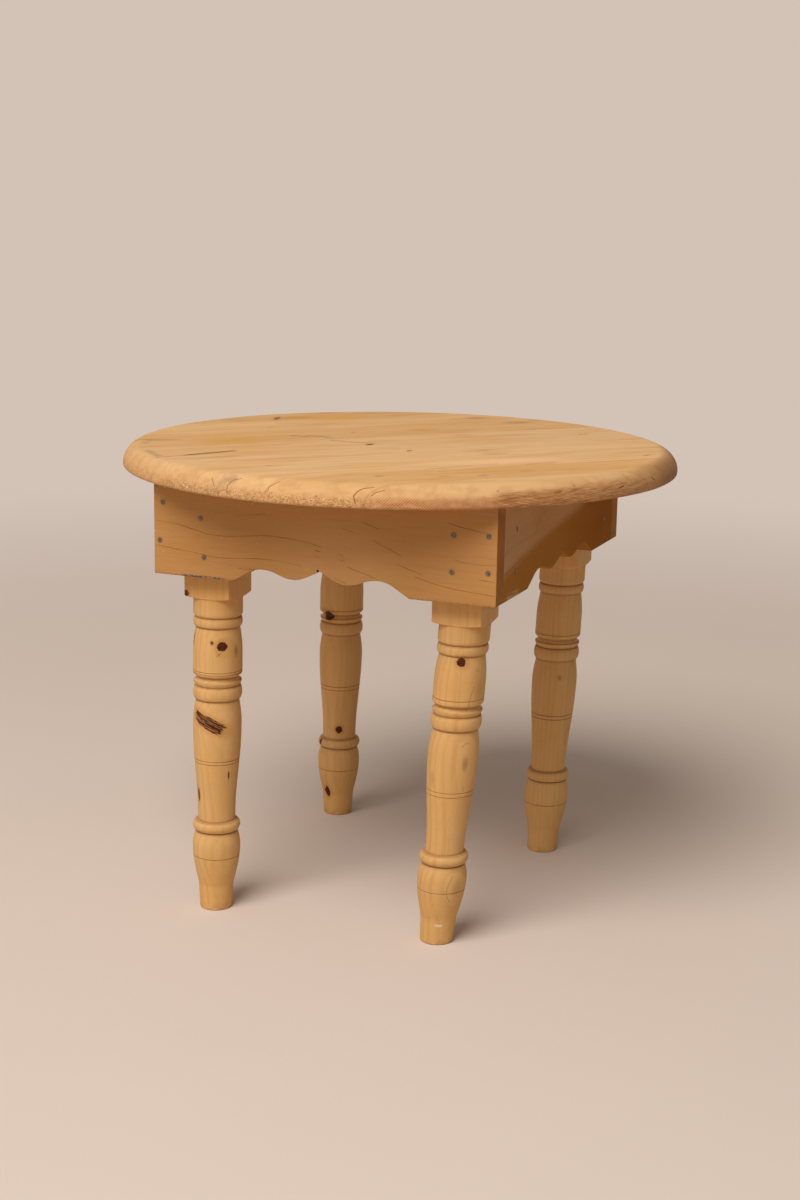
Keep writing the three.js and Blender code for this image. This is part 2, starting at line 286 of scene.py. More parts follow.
# Clouds of noise: cells to a millimetre, seed, detail, the values between which a cloud appears, and for
# those that are laid on as they are, strength and tint
CLOUDS = {
    "patches": ((0.007, 0.016, 0.016), 3, 3, 0.48, 0.72),
    "bands": ((0.003, 0.045, 0.045), 4, 3, 0.45, 0.7),
    "streaks": ((0.005, 0.16, 0.16), 5, 3, 0.5, 0.72),
    "fibres": ((0.035, 1.5, 1.5), 7, 3, 0.42, 0.7),
    "dashes": ((0.09, 1.3, 1.3), 9, 1, 0.74, 0.82, 0.35, GRAIN_LINE),
    "mottle": (0.08, 21, 4, 0.46, 0.66, 0.35, BROWN),
    "grime": (0.22, 23, 4, 0.46, 0.64, 0.5, RIM_BROWN),
    "sawn": ((0.06, 0.2, 1), 25, 3, 0.36, 0.56),
    "tears": ((0.045, 0.55, 1), 29, 5, 0.5, 0.6),
    "hairs": ((0.045, 0.8, 1), 30, 4, 0.53, 0.61),
    "top_smudges": ((0.012, 0.06, 0.06), 33, 4, 0.56, 0.72, 0.4, BROWN),
    "smears": ((0.012, 0.03, 0.03), 13, 4, 0.5, 0.75, 0.3, BROWN),
    "front_specks": ((0.5, 1.1, 1.1), 15, 2, 0.52, 0.72, 0.3, RIM_BROWN),
    "right_specks": ((0.5, 1.1, 1.1), 15, 2, 0.52, 0.72, 0.45, RIM_BROWN),
    "board_foot": ((0.3, 0.3, 0.6), 17, 3, 0.45, 0.62, 0.45, CRACK),
    "saw_flecks": ((0.24, 0.3, 0.5), 18, 2, 0.42, 0.52, 0.95, SAW_FLECK),
    "dust": (0.3, 71, 1, 0.7, 0.78, 0.4, CHALK),
    "chalk": ((0.03, 0.1, 0.4), 19, 0, 0.3, 0.7, 0.32, CHALK),
    "leg_warmth": (0.03, 8, 2, 0.3, 0.7, 0.5, LEG_WARM),
    "scuff": ((0.2, 0.2, 0.8), 19, 1, 0.36, 0.6, 0.7, CHALK),
    "lathe": ((0.02, 0.02, 1.1), 9, 3, 0.55, 0.75),
    "leg_dirt": (0.15, 15, 3, 0.4, 0.65, 0.4, DIRT),
    "knot_heart": ((0.9, 5.5, 1), 11, 3, 0.36, 0.62),
    "bark": ((0.9, 8, 1), 16, 3, 0.44, 0.56),
    "steel": (0.5, 1, 4, 0.35, 0.68),
    "rust": (0.9, 6, 4, 0.56, 0.72),
    "floor": (1.3, 2, 4, 0.3, 0.7),
}

# Uneven strengths: cells to a millimetre, seed, detail, range of the noise, and strengths at its ends
VARYINGS = {
    "top_sheen": ((0.02, 0.06, 0.06), 37, 3, 0.3, 0.7, 0.5, 0.68),
    "apron_sheen": ((0.02, 0.06, 0.06), 41, 3, 0.3, 0.7, 0.55, 0.72),
    "leg_sheen": ((0.05, 0.05, 0.03), 43, 3, 0.3, 0.7, 0.42, 0.6),
    "strokes": ((0.08, 0.25, 0.25), 35, 3, 0.35, 0.6, 0.5, 1),
    "front_grain": ((0.03, 0.1, 0.1), 5, 2, 0.35, 0.65, 0.3, 0.95),
    "heart": ((0.012, 0.05, 0.05), 14, 3, 0.3, 0.7, 0.9, 1),
    "scribes": (0.06, 0, 2, 0.3, 0.6, 0.45, 0.9),
    "scribe_wander": (0.09, 3, 2, 0, 1, -0.25, 0.25),
    "knot_edge": ((1.1, 1.4, 1), 0, 4, 0.2, 0.8, -0.36, 0.36),
}

# Boards of the top: pale colour, pith's side and depth, ring gap, contrast of the rings
PLANK_LOOKS = (
    ((219, 177, 124), 18, -46, 6.5, 0.4),
    ((214, 168, 110), -9, -38, 5.5, 0.5),
    # Painted shade: this board's pale colour is toned a little darker, as is the fifth's
    ((221, 179, 127), 22, -52, 8.0, 0.45),
    ((220, 179, 129), -20, 60, 7.0, 0.4),
    # Painted shade: this board's pale colour is toned a little darker
    ((217, 176, 127), 12, -58, 8.5, 0.35),
    ((211, 166, 111), -26, -44, 6.0, 0.5),
    ((217, 175, 122), 16, 50, 6.5, 0.45),
    ((208, 164, 110), -12, -42, 5.5, 0.55),
)

# Knots of the top: middle along and across the grain, half length, half width, turn, depth of colour
TOP_KNOTS = (
    (-40, 0, 6, 3.6, 35, 1.0), (-18, -62, 5, 2, 40, 0.7), (-54, 261, 13, 3.4, 60, 0.9),
    (-92, 181, 4, 2.2, 0, 0.4), (-14, 107, 5, 1.3, 50, 0.4), (227, -181, 7, 2.2, 25, 0.45),
    (-129, -222, 5, 3, 0, 0.25), (-52, -217, 5, 3, 0, 0.15), (36, -242, 7, 3, 0, 0.2),
    (91, -247, 7, 3, 0, 0.15), (-65, -247, 6, 3, 0, 0.2), (-212, -118, 4, 2, 0, 0.4),
    (250, 2, 7, 4, 0, 0.25),
)

# Stains of the top: middle, half length, half width, colour, strength
TOP_STAINS = (
    (76, 99, 26, 13, (196, 138, 76), 0.75), (101, 40, 22, 12, (190, 140, 92), 0.525),
    (-180, 86, 58, 30, (202, 149, 72), 0.9), (24, 240, 44, 20, (206, 150, 64), 0.9),
    (24, 296, 28, 14, (196, 136, 70), 0.75), (226, 128, 26, 13, (166, 132, 102), 0.825),
    (196, 187, 18, 10, (160, 126, 96), 0.75), (-30, 259, 40, 16, (192, 136, 62), 0.9),
    (-21, -254, 9, 5, (150, 122, 92), 0.75), (-263, 111, 22, 10, (190, 142, 92), 0.525),
    (-246, 31, 14, 6, (190, 146, 100), 0.45), (49, -171, 92, 24, (232, 190, 142), 0.675),
    (132, -20, 60, 16, (206, 158, 108), 0.45), (-120, -150, 70, 18, (214, 164, 106), 0.45),
    (60, -225, 90, 15, (206, 152, 88), 0.525),
)

# Open cracks of the top: points along and across the grain, half width, colour, strength
TOP_CRACKS = (
    (((-264, -12), (-240, -6), (-216, -1)), 3.0, CRACK, 1.0),
    (((221, -181), (240, -182)), 1.3, CHECK, 0.85),
)

# Smudges and scratches of the top, written as the cracks are
TOP_STROKES = (
    (((-306, -20), (-262, -12)), 2.8, DIRT, 0.85),
    (((-268, -13), (-240, -6), (-210, 0)), 7.0, SMUDGE, 0.8),
    (((-286, 129), (-258, 114), (-238, 108)), 8.5, DIRT, 0.55),
    (((-299, 34), (-301, 10), (-301, -8)), 7.5, DIRT, 0.5),
    (((-272, 116), (-284, 92)), 7.5, DIRT, 0.35),
    (((-98, 98), (-86, 88), (-78, 93), (-66, 80), (-60, 65)), 5.5, DIRT, 0.7),
    (((-69, 44), (-58, 36), (-48, 22), (-31, 10)), 5.0, DIRT, 0.7),
    (((-134, -228), (-126, -225)), 4.5, KNOT_HALO, 0.8),
    (((-280, -155), (-269, -168)), 5.5, DIRT, 0.5),
    (((-60, -196), (-10, -188), (30, -186)), 4.0, BROWN, 0.55),
    (((60, -200), (96, -196)), 3.6, BROWN, 0.55),
)
STROKE_SHARP_SHARE = 0.2
CRACK_SHARP_SHARE = 0.3

# Checks in the rim: points in degrees round from the grain and level, half width, strength
RIM_CHECKS = (
    (((206.4, 19), (206.8, 17), (207.8, 11)), 0.6, 0.6),
    (((210.9, 6), (210.9, 14.1), (211.6, 19.4), (213.2, 21.8)), 0.6, 0.6),
    (((219.8, 12.7), (219.9, 16.7), (221.7, 23)), 0.6, 0.55),
    (((236.9, 6), (236.5, 13.3), (237.2, 18.2), (238.1, 20.7), (240.1, 22.2)), 0.7, 0.75),
    (((239.7, 13.9), (240.4, 17.4), (242.1, 19.8)), 0.6, 0.45),
    (((197, 13), (197.7, 18.3)), 0.6, 0.4),
    (((191, 17.6), (191.1, 21.4)), 0.6, 0.4),
    (((303.9, 14.4), (304.8, 11)), 1.1, 0.9),
    (((275, 13.2), (276.7, 14.7)), 0.8, 0.5),
    (((291.4, 10.8), (293.2, 12.4)), 0.9, 0.6),
)

# Small spots of old paint and dirt on the rim: degrees, level, half size, colour
RIM_SPOTS = (
    (197.1, 3.8, 1.7, CHALK), (199.6, 7.9, 1.5, CHALK), (200.6, 5.6, 1.9, CHALK), (201.0, 8.4, 1.2, CHALK),
    (207.4, 9.4, 4.0, SCUFF), (209.2, 9.8, 4.2, SCUFF), (214.8, 13.3, 3.0, SCUFF), (219.5, 11.6, 1.5, CRACK),
    (220.3, 11.0, 1.3, CRACK), (220.8, 11.6, 1.0, CRACK), (227.2, 13.0, 3.0, SCUFF), (229.6, 11.5, 2.4, DIRT),
    (230.4, 13.1, 2.6, SCUFF), (279.9, 19.0, 2.0, CRACK), (263.4, 18.8, 2.4, DIRT), (209, 22, 4.6, SCUFF),
    (211.5, 22.6, 4.0, SCUFF),
)

# Spacing of the pits in the rim's end grain, as cells to a millimetre
PIT_SCALE = 0.5

# Dark lines on the front board: points along it from its middle and above its foot. Then their half width,
# how far their ends fade, and a small hole.
FRONT_LINES = (
    ((-202, 61), (-174, 58.4), (-148, 53), (-124, 49.6), (-91, 51.6), (-66, 54.6), (-41, 54), (4, 46)),
    ((-202, 33), (-153, 28), (-118, 25), (-91, 27), (-58, 28), (-18, 21)),
    ((-103, 73), (-63, 79)), ((49, 79), (72, 72)), ((24, 71), (43, 66)), ((61, 61), (98, 45)),
    ((144, 87), (172, 81), (194, 78)), ((152, 49), (182, 44), (204, 46)), ((89, 37), (122, 27)),
    ((31, 29), (69, 18)), ((109, 26), (147, 17), (204, 12)), ((21, 43), (31, 37)), ((21, 36), (32, 34)),
    ((-8, 44), (4, 42)), ((-8, 37), (4, 35)), ((14, 16), (34, 9)), ((43, 34), (49, 33)),
    ((182, 28), (204, 27)), ((-101, 15), (-73, 15)),
)
FRONT_LINE_WIDTH = 0.75
FRONT_LINE_EASE = 5
FRONT_HOLE = (-2, 21, 0)
FRONT_HOLE_FADE = (1.7, 1)

# Painted light on the front board, a paler oval where the top's shadow falls: middle and radii
FRONT_PAINTED_LIGHT_OVAL = ((16, 34), (95, 50))

# Slanting painted shadow of the top on the front board's end: drop below the board's top, fall towards the
# # back, reach down, and how far its upper edge fades
STRIP_DROP = 4
STRIP_SLOPE_SHARE = 0.42
STRIP_REACH = 18
STRIP_EASE = 1.5

# Edge of the darker heartwood on the right board: points along it from its middle and above its foot
HEART_EDGE = ((-206, 30), (-164, 36), (-96, 47), (-36, 54), (34, 60), (104, 70), (154, 80), (206, 96))

# Legs: sideways travel of the turned part as a share of its drop, levels of its scribed lines, the pith's
# side, ring gap and contrast. Knots and bark: degrees round, level, half length, half height, turn, depth
# of colour. Lines: points in degrees and level. Scuffs: degrees, level, half length, half height.
LEGS = {
    "front_left": dict(
        lean=(0.003, -0.027), scribes=(286.3, 283.6, 181.4, 177.6, 64.6),
        pith=(-34, 26), gap=5.2, contrast=0.4,
        knots=(
            (-53, 317.7, 5.6, 5.2, 25, 1.0), (-77, 322, 1.7, 1.9, 0, 0.9), (-60, 308.5, 3.4, 1.4, 30, 0.35),
            (-30, 165, 0.8, 4.2, 0, 1.0), (-144, 323, 2, 7, 0, 0.8), (-16, 311, 3, 7, 0, 0.35),
            (-128, 139, 2.4, 7, 0, 0.85), (-132.5, 377, 2.4, 3.6, 0, 0.9),
        ),
        bark=((-88, 228, 22, 8.2, -25, 1.0),), lines=(), scuffs=(),
    ),
    "front_right": dict(
        lean=(-0.068, -0.001), scribes=(287.6, 181.8, 176.8, 64.6), pith=(-30, 22), gap=6.2, contrast=0.38,
        knots=(
            (-71, 331.6, 5, 4.8, 20, 1.0), (-121, 195.8, 4, 9, 0, 0.15), (-41, 216, 4, 9, 0, 0.3),
            (-30, 70, 7, 12, 0, 0.12), (-20, 298, 6, 14, 0, 0.12),
        ),
        lines=(
            ((-36, 304), (-42, 295), (-46, 286), (-47, 277)),
            ((-33, 321), (-29, 323), (-24, 320)),
            ((-52, 236), (-42, 240), (-33, 239)),
            ((-44, 85), (-53, 77), (-58, 69), (-55, 61), (-46, 54)),
            ((-40, 190), (-37, 184)),
        ),
        bark=(), scuffs=((-69, 24, 6.4, 1.8),),
    ),
    "back_left": dict(
        lean=(-0.024, 0.032), scribes=(285.5, 181.8, 176.8, 64.6), pith=(24, 36), gap=5.0, contrast=0.28,
        knots=(
            (-105, 278.4, 7.5, 6, 0, 1.0), (-68, 122, 4.4, 4.8, 0, 1.0), (-108, 33.5, 4, 7, 0, 1.0),
            (-132, 102.3, 3, 4, 0, 0.9),
        ),
        bark=(), lines=(), scuffs=(),
    ),
    "back_right": dict(
        lean=(-0.029, -0.036), scribes=(285.5, 181.8, 176.8, 64.6), pith=(38, -14), gap=5.6, contrast=0.26,
        knots=((-60, 232, 3, 4, 0, 0.3), (40, 180, 6, 5, 0, 0.9)),
        bark=(), lines=(), scuffs=(),
    ),
}

# Knots fainter than this are drawn as smudges
FAINT_DEPTH = 0.4

# Half width of the grey grain lines on the legs
LEG_LINE_WIDTH = 0.9

# Fades, each from where it begins to where it is full: out to the rim, down it, and away from a seam
RIM_COLOR_FADE = (FLAT_RADIUS - 4, TOP_RADIUS - 6)
LOWER_RIM_FADE = (SAWN_BAND + 6, SAWN_BAND - 2)
SEAM_FADE = (0.8, 0.1)

# Torn fibres: how far their ends fade in degrees, their strength at the far end, and the levels
# at which they begin and are full at two angles
TORN_EASES = (4, 14)
TORN_END_SHARE = 0.55
TORN_RISE = (265, 300)
TORN_LEVELS = ((19, 24), (13, 15))

# Fades on the boards: levels from the foot, places from the middle, and the flecks' from the board's end
BOARD_FOOT_FADE = (4, 0)
INNER_FACE_FADE = (BOARD_THICKNESS - 2, BOARD_THICKNESS - 0.5)
CRUSH_FADE = (4.6, 2.4)
FLECK_LEVELS = (3.4, 1.8)
FLECK_FADES = ((30, 40), (92, 84))
HEART_FADE = (-8, 9)
HEART_PAINTED_SHADE_FADE = (-60, 170)
HEART_LINE_FADE = (-110, -190)
HEART_LINE_WIDTH = 2.2
CHALK_LEVELS = (11, 3)
CHALK_FADES = ((-198, -190), (-150, -164))
BOARD_SAW_PITCH = 3.1
BOARD_SAW_SLOPE_SHARE = 0.12

# Fades on the legs: levels, and distances from a scribed line or a groove
BLOCK_TONE_AND_LIGHT_FADE = (BLOCK_BOTTOM - 16, BLOCK_BOTTOM + 4)
TURNED_FADE = (BLOCK_BOTTOM + 2, BLOCK_BOTTOM - 2)
LEG_DIRT_FADE = (12, 1)
SCRIBE_FADE = (0.75, 0.2)
GROOVE_DIRT_AND_SHADE_FADE = (2.6, 0.2)

# Wobbles that keep marks from looking ruled: reach, length, seed
WOBBLES = {
    "plank": (1.4, 12, 0), "tears": (2, 36, 27), "hairs": (2, 30, 28), "spots": (1.6, 4, 31),
    "front_lines": (0.5, 9, 0), "knots": (0.5, 4, 5), "leg_lines": (0.6, 12, 6),
}

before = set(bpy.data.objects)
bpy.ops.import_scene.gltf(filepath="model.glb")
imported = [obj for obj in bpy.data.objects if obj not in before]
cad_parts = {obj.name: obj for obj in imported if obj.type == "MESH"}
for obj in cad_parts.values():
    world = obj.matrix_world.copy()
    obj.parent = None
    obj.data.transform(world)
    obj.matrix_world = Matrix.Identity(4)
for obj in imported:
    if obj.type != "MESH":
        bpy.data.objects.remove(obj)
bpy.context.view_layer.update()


# Meshes
def new_object(name, data):
    item = bpy.data.objects.new(name, data)
    bpy.context.scene.collection.objects.link(item)
    return item


def make_object(name, vertices, faces):
    mesh = bpy.data.meshes.new(name)
    mesh.from_pydata([Vector(v) * MM for v in vertices], [], faces)
    mesh.update()
    mesh.shade_smooth()
    mesh.set_sharp_from_angle(angle=math.radians(SHARP_DEGREES))
    return new_object(name, mesh)


def place(piece, node, slot, matrix, material):
    """Puts a piece where its CAD node stands, in its stead."""
    piece.matrix_world = matrix
    piece.data.materials.clear()
    piece.data.materials.append(material)
    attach(piece, "root")
    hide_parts(node)


def shifted(x, y, z, degrees=0):
    """Matrix of a piece turned about Z and moved by millimetres."""
    move = Matrix.Translation(Vector((x, y, z)) * MM)
    return move @ Matrix.Rotation(math.radians(degrees), 4, "Z")


def cos_sin(degrees):
    return math.cos(math.radians(degrees)), math.sin(math.radians(degrees))


def rough(point, length, seed=0):
    """Smooth noise between -1 and 1 with bumps about that long."""
    return noise.noise(Vector(point) / length + Vector((seed, seed, seed)))


def hollow(point, wave, seed):
    """How deep a wave lies at a point."""
    return wave[0] * (0.5 + 0.5 * rough(point, wave[1], seed))


def smooth_step(value, low, high):
    share = min(max((value - low) / (high - low), 0), 1)
    return share * share * (3 - 2 * share)


def quarter_turn(steps):
    """(sine, 1 - cosine) of the angles of a quarter turn."""
    angles = [math.pi / 2 * i / steps for i in range(steps + 1)]
    return [(math.sin(a), 1 - math.cos(a)) for a in angles]


def loft(loops):
    """Closed shell through loops of equally many points, with a face over each end."""
    count = len(loops[0])
    vertices = [point for loop in loops for point in loop]
    faces = []
    for low in range(0, len(vertices) - count, count):
        high = low + count
        for i in range(count):
            j = (i + 1) % count
            faces.append((low + i, low + j, high + j, high + i))
    faces.append(tuple(range(count))[::-1])
    faces.append(tuple(range(len(vertices) - count, len(vertices))))
    return vertices, faces


def ring_loop(angles, radii, levels):
    return [(r * math.cos(a), r * math.sin(a), z) for a, r, z in zip(angles, radii, levels)]


def turned_loops(profile, segments):
    """Circles about Z for a profile of (radius, level) points that runs upwards."""
    angles = [TURN * i / segments for i in range(segments)]
    return [ring_loop(angles, [r] * segments, [z] * segments) for r, z in profile]


# Round top: rings of points from the middle of the upper face over the rim to the underside
def ring_count(radius, most):
    count = RIM_SEGMENTS
    while count > LEAST_SEGMENTS and TURN * radius / (count / 2) < TOP_STEP * TOP_STEP_SLACK:
        count //= 2
    return min(count, most)


def top_rings():
    """(radius, level above the underside, number of points) of each ring."""
    rings = []
    steps = round(FLAT_RADIUS / TOP_STEP)
    for i in range(1, steps):
        radius = FLAT_RADIUS * i / steps
        rings.append((radius, TOP_THICKNESS, ring_count(radius, RIM_SEGMENTS // 2)))
    for out, down in quarter_turn(RIM_STEPS):
        level = TOP_THICKNESS - UPPER_ROUNDING * down
        rings.append((FLAT_RADIUS + UPPER_ROUNDING * out, level, RIM_SEGMENTS))
    for down, back in quarter_turn(LOWER_RIM_STEPS):
        rings.append((TOP_RADIUS - LOWER_ROUNDING * back, LOWER_ROUNDING * (1 - down), RIM_SEGMENTS))
    under = TOP_RADIUS - LOWER_ROUNDING
    steps = round(under / UNDERSIDE_STEP)
    for i in range(steps - 1, 0, -1):
        radius = under * i / steps
        rings.append((radius, 0, ring_count(radius, min(rings[-1][2], RIM_SEGMENTS // 2))))
    return rings


def rim_place(point):
    """Where a point of the rim lies: millimetres round the top and over its rounding."""
    over = math.atan2(math.hypot(point[0], point[1]) - FLAT_RADIUS, point[2] - ROUNDING_LEVEL)
    return Vector((math.atan2(point[1], point[0]) % TURN * TOP_RADIUS, over * UPPER_ROUNDING, 0))


def rim_point(degrees, level):
    """The point on the rim's surface at an angle from the grain and a level above the underside."""
    rise = max(level - ROUNDING_LEVEL, 0)
    radius = FLAT_RADIUS + math.sqrt(max(UPPER_ROUNDING**2 - rise**2, 0))
    cosine, sine = cos_sin(degrees)
    return Vector((radius * cosine, radius * sine, level))


def flat_place(point):
    """Where a point lies on the upper face. Points below that face come out far from it."""
    return Vector((point[0], point[1], min(point[2] - TOP_THICKNESS, 0)))


def along_rim(degrees, low, high, ease):
    """1 along a stretch of the rim, falling to 0 beyond its ends."""
    return smooth_step(degrees, low, low + ease) * smooth_step(degrees, high, high - ease)


def torn_ridges(run, over):
    """Height of the ridges that torn fibres leave along the rim."""
    across = (over + TORN_SLOPE_SHARE * run) / TORN_RIDGE_WIDTH
    ridge = max(rough((run / TORN_RIDGE_LENGTH, across, 0), 1, 7), 0)
    fine = rough((run / TORN_RIDGE_LENGTH, across / FINE_TEAR_SHARE, 0), 1, 8)
    return ridge + FINE_TEAR_SHARE * max(fine, 0)


def worn(radius, angle, level):
    """A point of the round top after its wear, in the frame of its boards."""
    point = Vector((radius * math.cos(angle), radius * math.sin(angle), level))
    inward = -Vector((math.cos(angle), math.sin(angle), 0))
    degrees = math.degrees(angle) % 360
    rim = smooth_step(radius, *RIM_FADE)
    low = smooth_step(level, *SAWN_FADE) * rim
    chip = max(rough(point, RIM_CHIP_LENGTH, 5), 0) * math.cos(angle) ** 2
    depth = rim * hollow(point, RIM_WAVE, 3) + RIM_CHIP * low * chip
    cut = 0.6 + 0.4 * rough(point, RIM_WAVE[1], 9)
    depth += SAWN_CUT * along_rim(degrees, *SAWN_CUT_STRETCH) * low * cut
    run, over, _ = rim_place(point)
    depth += TORN_RIDGE * along_rim(degrees, *TORN_STRETCH) * rim * torn_ridges(run, over)
    sink = hollow(point, TOP_WAVE, 1) if level > SAWN_BAND else 0
    return point + inward * depth - Vector((0, 0, sink))


def bridge(inner, outer):
    """Faces between two rings, the outer with as many points or twice as many."""
    faces = []
    count = len(inner)
    for i in range(count):
        a, b = inner[i], inner[(i + 1) % count]
        if len(outer) == 2 * count:
            c, d, e = outer[2 * i], outer[2 * i + 1], outer[(2 * i + 2) % len(outer)]
            faces.extend(((a, c, d), (a, d, b), (b, d, e)))
        else:
            faces.append((a, outer[i], outer[(i + 1) % count], b))
    return faces


def top_disc():
    """The whole round top as one closed mesh, before it is parted along its glue lines."""
    vertices = [(0, 0, TOP_THICKNESS)]
    faces = []
    last = None
    for radius, level, count in top_rings():
        ring = list(range(len(vertices), len(vertices) + count))
        vertices.extend(worn(radius, TURN * i / count, level) for i in range(count))
        if last is None:
            faces.extend((0, ring[i], ring[(i + 1) % count]) for i in range(count))
        elif count >= len(last):
            faces.extend(bridge(last, ring))
        else:
            faces.extend(face[::-1] for face in bridge(ring, last))
        last = ring
    middle = len(vertices)
    vertices.append((0, 0, 0))
    faces.extend((middle, last[(i + 1) % len(last)], last[i]) for i in range(len(last)))
    return vertices, faces


def parted(source, low, high):
    """The board between two glue lines, its upper edges eased along them."""
    board = source.copy()
    for line, side in ((low, -1), (high, 1)):
        if line is None:
            continue
        for cut in (line - side * SEAM_EASE, line):
            geometry = board.verts[:] + board.edges[:] + board.faces[:]
            plane = dict(plane_co=(0, cut, 0), plane_no=(0, side, 0))
            bmesh.ops.bisect_plane(board, geom=geometry, clear_outer=cut == line, **plane)
        for vertex in board.verts:
            if abs(vertex.co.y - line) < MM and vertex.co.z > TOP_THICKNESS / 2:
                vertex.co.z -= SEAM_DEPTH * (1 + rough(vertex.co, TOP_WAVE[1], 11))
        edges = [edge for edge in board.edges if edge.is_boundary]
        bmesh.ops.holes_fill(board, edges=edges, sides=0)
    return board


def path_distance(point, path):
    """Distance from a point to a line through points."""
    nearest = math.inf
    for start, end in zip(path, path[1:]):
        along = end - start
        share = min(max((point - start).dot(along) / along.length_squared, 0), 1)
        nearest = min(nearest, (point - start - along * share).length)
    return nearest


def carve(board, flatten, points, half_width):
    """Opens a crack of V section along points of the surface, after making the faces there finer."""
    path = [flatten(point) for point in points]
    middle = sum(points, Vector()) / len(points)
    reach = max((point - middle).length for point in points) + half_width + CRACK_MARGIN + TOP_STEP
    for _ in range(CRACK_ROUNDS):
        edges = []
        for edge in board.edges:
            centre = (edge.verts[0].co + edge.verts[1].co) / 2
            near = (centre - middle).length < reach
            if near and path_distance(flatten(centre), path) < half_width + CRACK_MARGIN:
                edges.append(edge)
        bmesh.ops.subdivide_edges(board, edges=edges, cuts=1, use_grid_fill=True)
    board.normal_update()
    moves = []
    for vertex in board.verts:
        if (vertex.co - middle).length < reach:
            share = 1 - path_distance(flatten(vertex.co), path) / half_width
            if share > 0:
                moves.append((vertex, vertex.normal * CRACK_DEPTH * share))
    for vertex, move in moves:
        vertex.co -= move


def within(value, low, high, margin=2):
    """Whether a place across the grain lies on the board between two glue lines."""
    return (low is None or value > low - margin) and (high is None or value < high + margin)


def carve_cracks(board, low, high):
    for path, half_width, _, _ in TOP_CRACKS:
        if any(within(v, low, high, half_width) for _, v in path):
            carve(board, flat_place, [Vector((u, v, TOP_THICKNESS)) for u, v in path], half_width)
    for path, half_width, _ in RIM_CHECKS:
        points = [rim_point(*p) for p in path]
        if any(within(p.y, low, high, half_width) for p in points):
            carve(board, rim_place, points, half_width)


def make_top():
    disc = bmesh.new()
    vertices, faces = top_disc()
    handles = [disc.verts.new(v) for v in vertices]
    for face in faces:
        disc.faces.new([handles[i] for i in face])
    turn = Matrix.Rotation(math.radians(GRAIN_DEGREES), 3, "Z")
    lines = [share * TOP_RADIUS for share in GLUE_LINE_SHARES]
    lows = [None] + [line + GLUE_GAP / 2 for line in lines]
    highs = [line - GLUE_GAP / 2 for line in lines] + [None]
    for index, (low, high) in enumerate(zip(lows, highs)):
        board = parted(disc, low, high)
        carve_cracks(board, low, high)
        board.verts.index_update()
        points = [turn @ vertex.co for vertex in board.verts]
        sides = [tuple(vertex.index for vertex in face.verts) for face in board.faces]
        board.free()
        piece = make_object(f"pine_plank_{index + 1}", points, sides)
        matrix = shifted(0, 0, TOP_LEVEL - TOP_THICKNESS)
        place(piece, f"top_plank_{index + 1}", "top_pine", matrix, plank_pine(index, low, high))
    disc.free()


# Scalloped boards
def curve(handles, steps):
    """Points of a curve from its first to its last handle, drawn towards those between."""
    degree = len(handles) - 1
    points = []
    for i in range(steps + 1):
        t = i / steps
        weights = [math.comb(degree, k) * t**k * (1 - t) ** (degree - k) for k in range(degree + 1)]
        points.append(tuple(sum(w * handle[k] for w, handle in zip(weights, handles)) for k in (0, 1)))
    return points


def scallop(half, pad):
    """Half of the lower edge, from the cusp in the middle to the board's end."""
    cut = half - pad
    arch = cut * ARCH_SHARE
    bulge = cut * BULGE_SHARE
    turn = (arch + bulge) / 2
    steps = round(cut / BOARD_STEP / 3)
    low, high = (bulge, BULGE_RISE), (arch, ARCH_RISE)
    edge = curve(((0, CUSP_RISE), (cut * CUSP_EASE_SHARE, BULGE_RISE), low), steps)
    edge += curve((low, (turn, BULGE_RISE), (turn, ARCH_RISE), high), steps)
    edge += curve((high, (cut * ARCH_EASE_SHARE, ARCH_RISE), (cut * DIAGONAL_SHARE, DIAGONAL_RISE)), steps)
    return edge + [(cut, 0), (half, 0)]


def height_at(edge, x):
    """Height of the lower edge at a distance from the middle."""
    for (x0, z0), (x1, z1) in zip(edge, edge[1:]):
        if x0 <= x <= x1:
            return z0 if x1 == x0 else z0 + (z1 - z0) * (x - x0) / (x1 - x0)
    return edge[-1][1]


def board_stations(half, corners):
    """Places along a board where its section is set, with its corners among them and its ends eased."""
    inner = half - BOARD_EASE
    count = round(2 * inner / BOARD_STEP)
    even = [-inner + 2 * inner * i / count for i in range(count + 1)]
    exact = [side * corner for corner in corners for side in (-1, 1) if corner < inner]
    kept = [x for x in even if all(abs(x - c) > BOARD_STEP / 3 for c in exact)]
    stations = [(x, 0) for x in sorted(kept + exact)]
    for out, back in quarter_turn(EASE_STEPS)[1:]:
        reach = inner + BOARD_EASE * out
        stations = [(-reach, BOARD_EASE * back)] + stations + [(reach, BOARD_EASE * back)]
    return stations


def corner_arc(y, z, start):
    """Points of an eased corner about its centre, turning a quarter counterclockwise."""
    angles = [math.radians(start) + math.pi / 2 * i / EASE_STEPS for i in range(EASE_STEPS + 1)]
    return [(y + BOARD_EASE * math.cos(a), z + BOARD_EASE * math.sin(a)) for a in angles]


def board_section(low, inset):
    """Outline of a board's section in (depth, level), from the front's foot counterclockwise."""
    near, far = inset + BOARD_EASE, BOARD_THICKNESS - inset - BOARD_EASE
    foot, head = low + inset + BOARD_EASE, FRAME_HEIGHT - inset - BOARD_EASE
    rows = [foot + (head - foot) * i / BOARD_ROWS for i in range(1, BOARD_ROWS)]
    section = corner_arc(near, foot, 180) + corner_arc(far, foot, 270)
    section += [(far + BOARD_EASE, z) for z in rows]
    section += corner_arc(far, head, 0) + corner_arc(near, head, 90)
    return section + [(near - BOARD_EASE, z) for z in rows[::-1]]


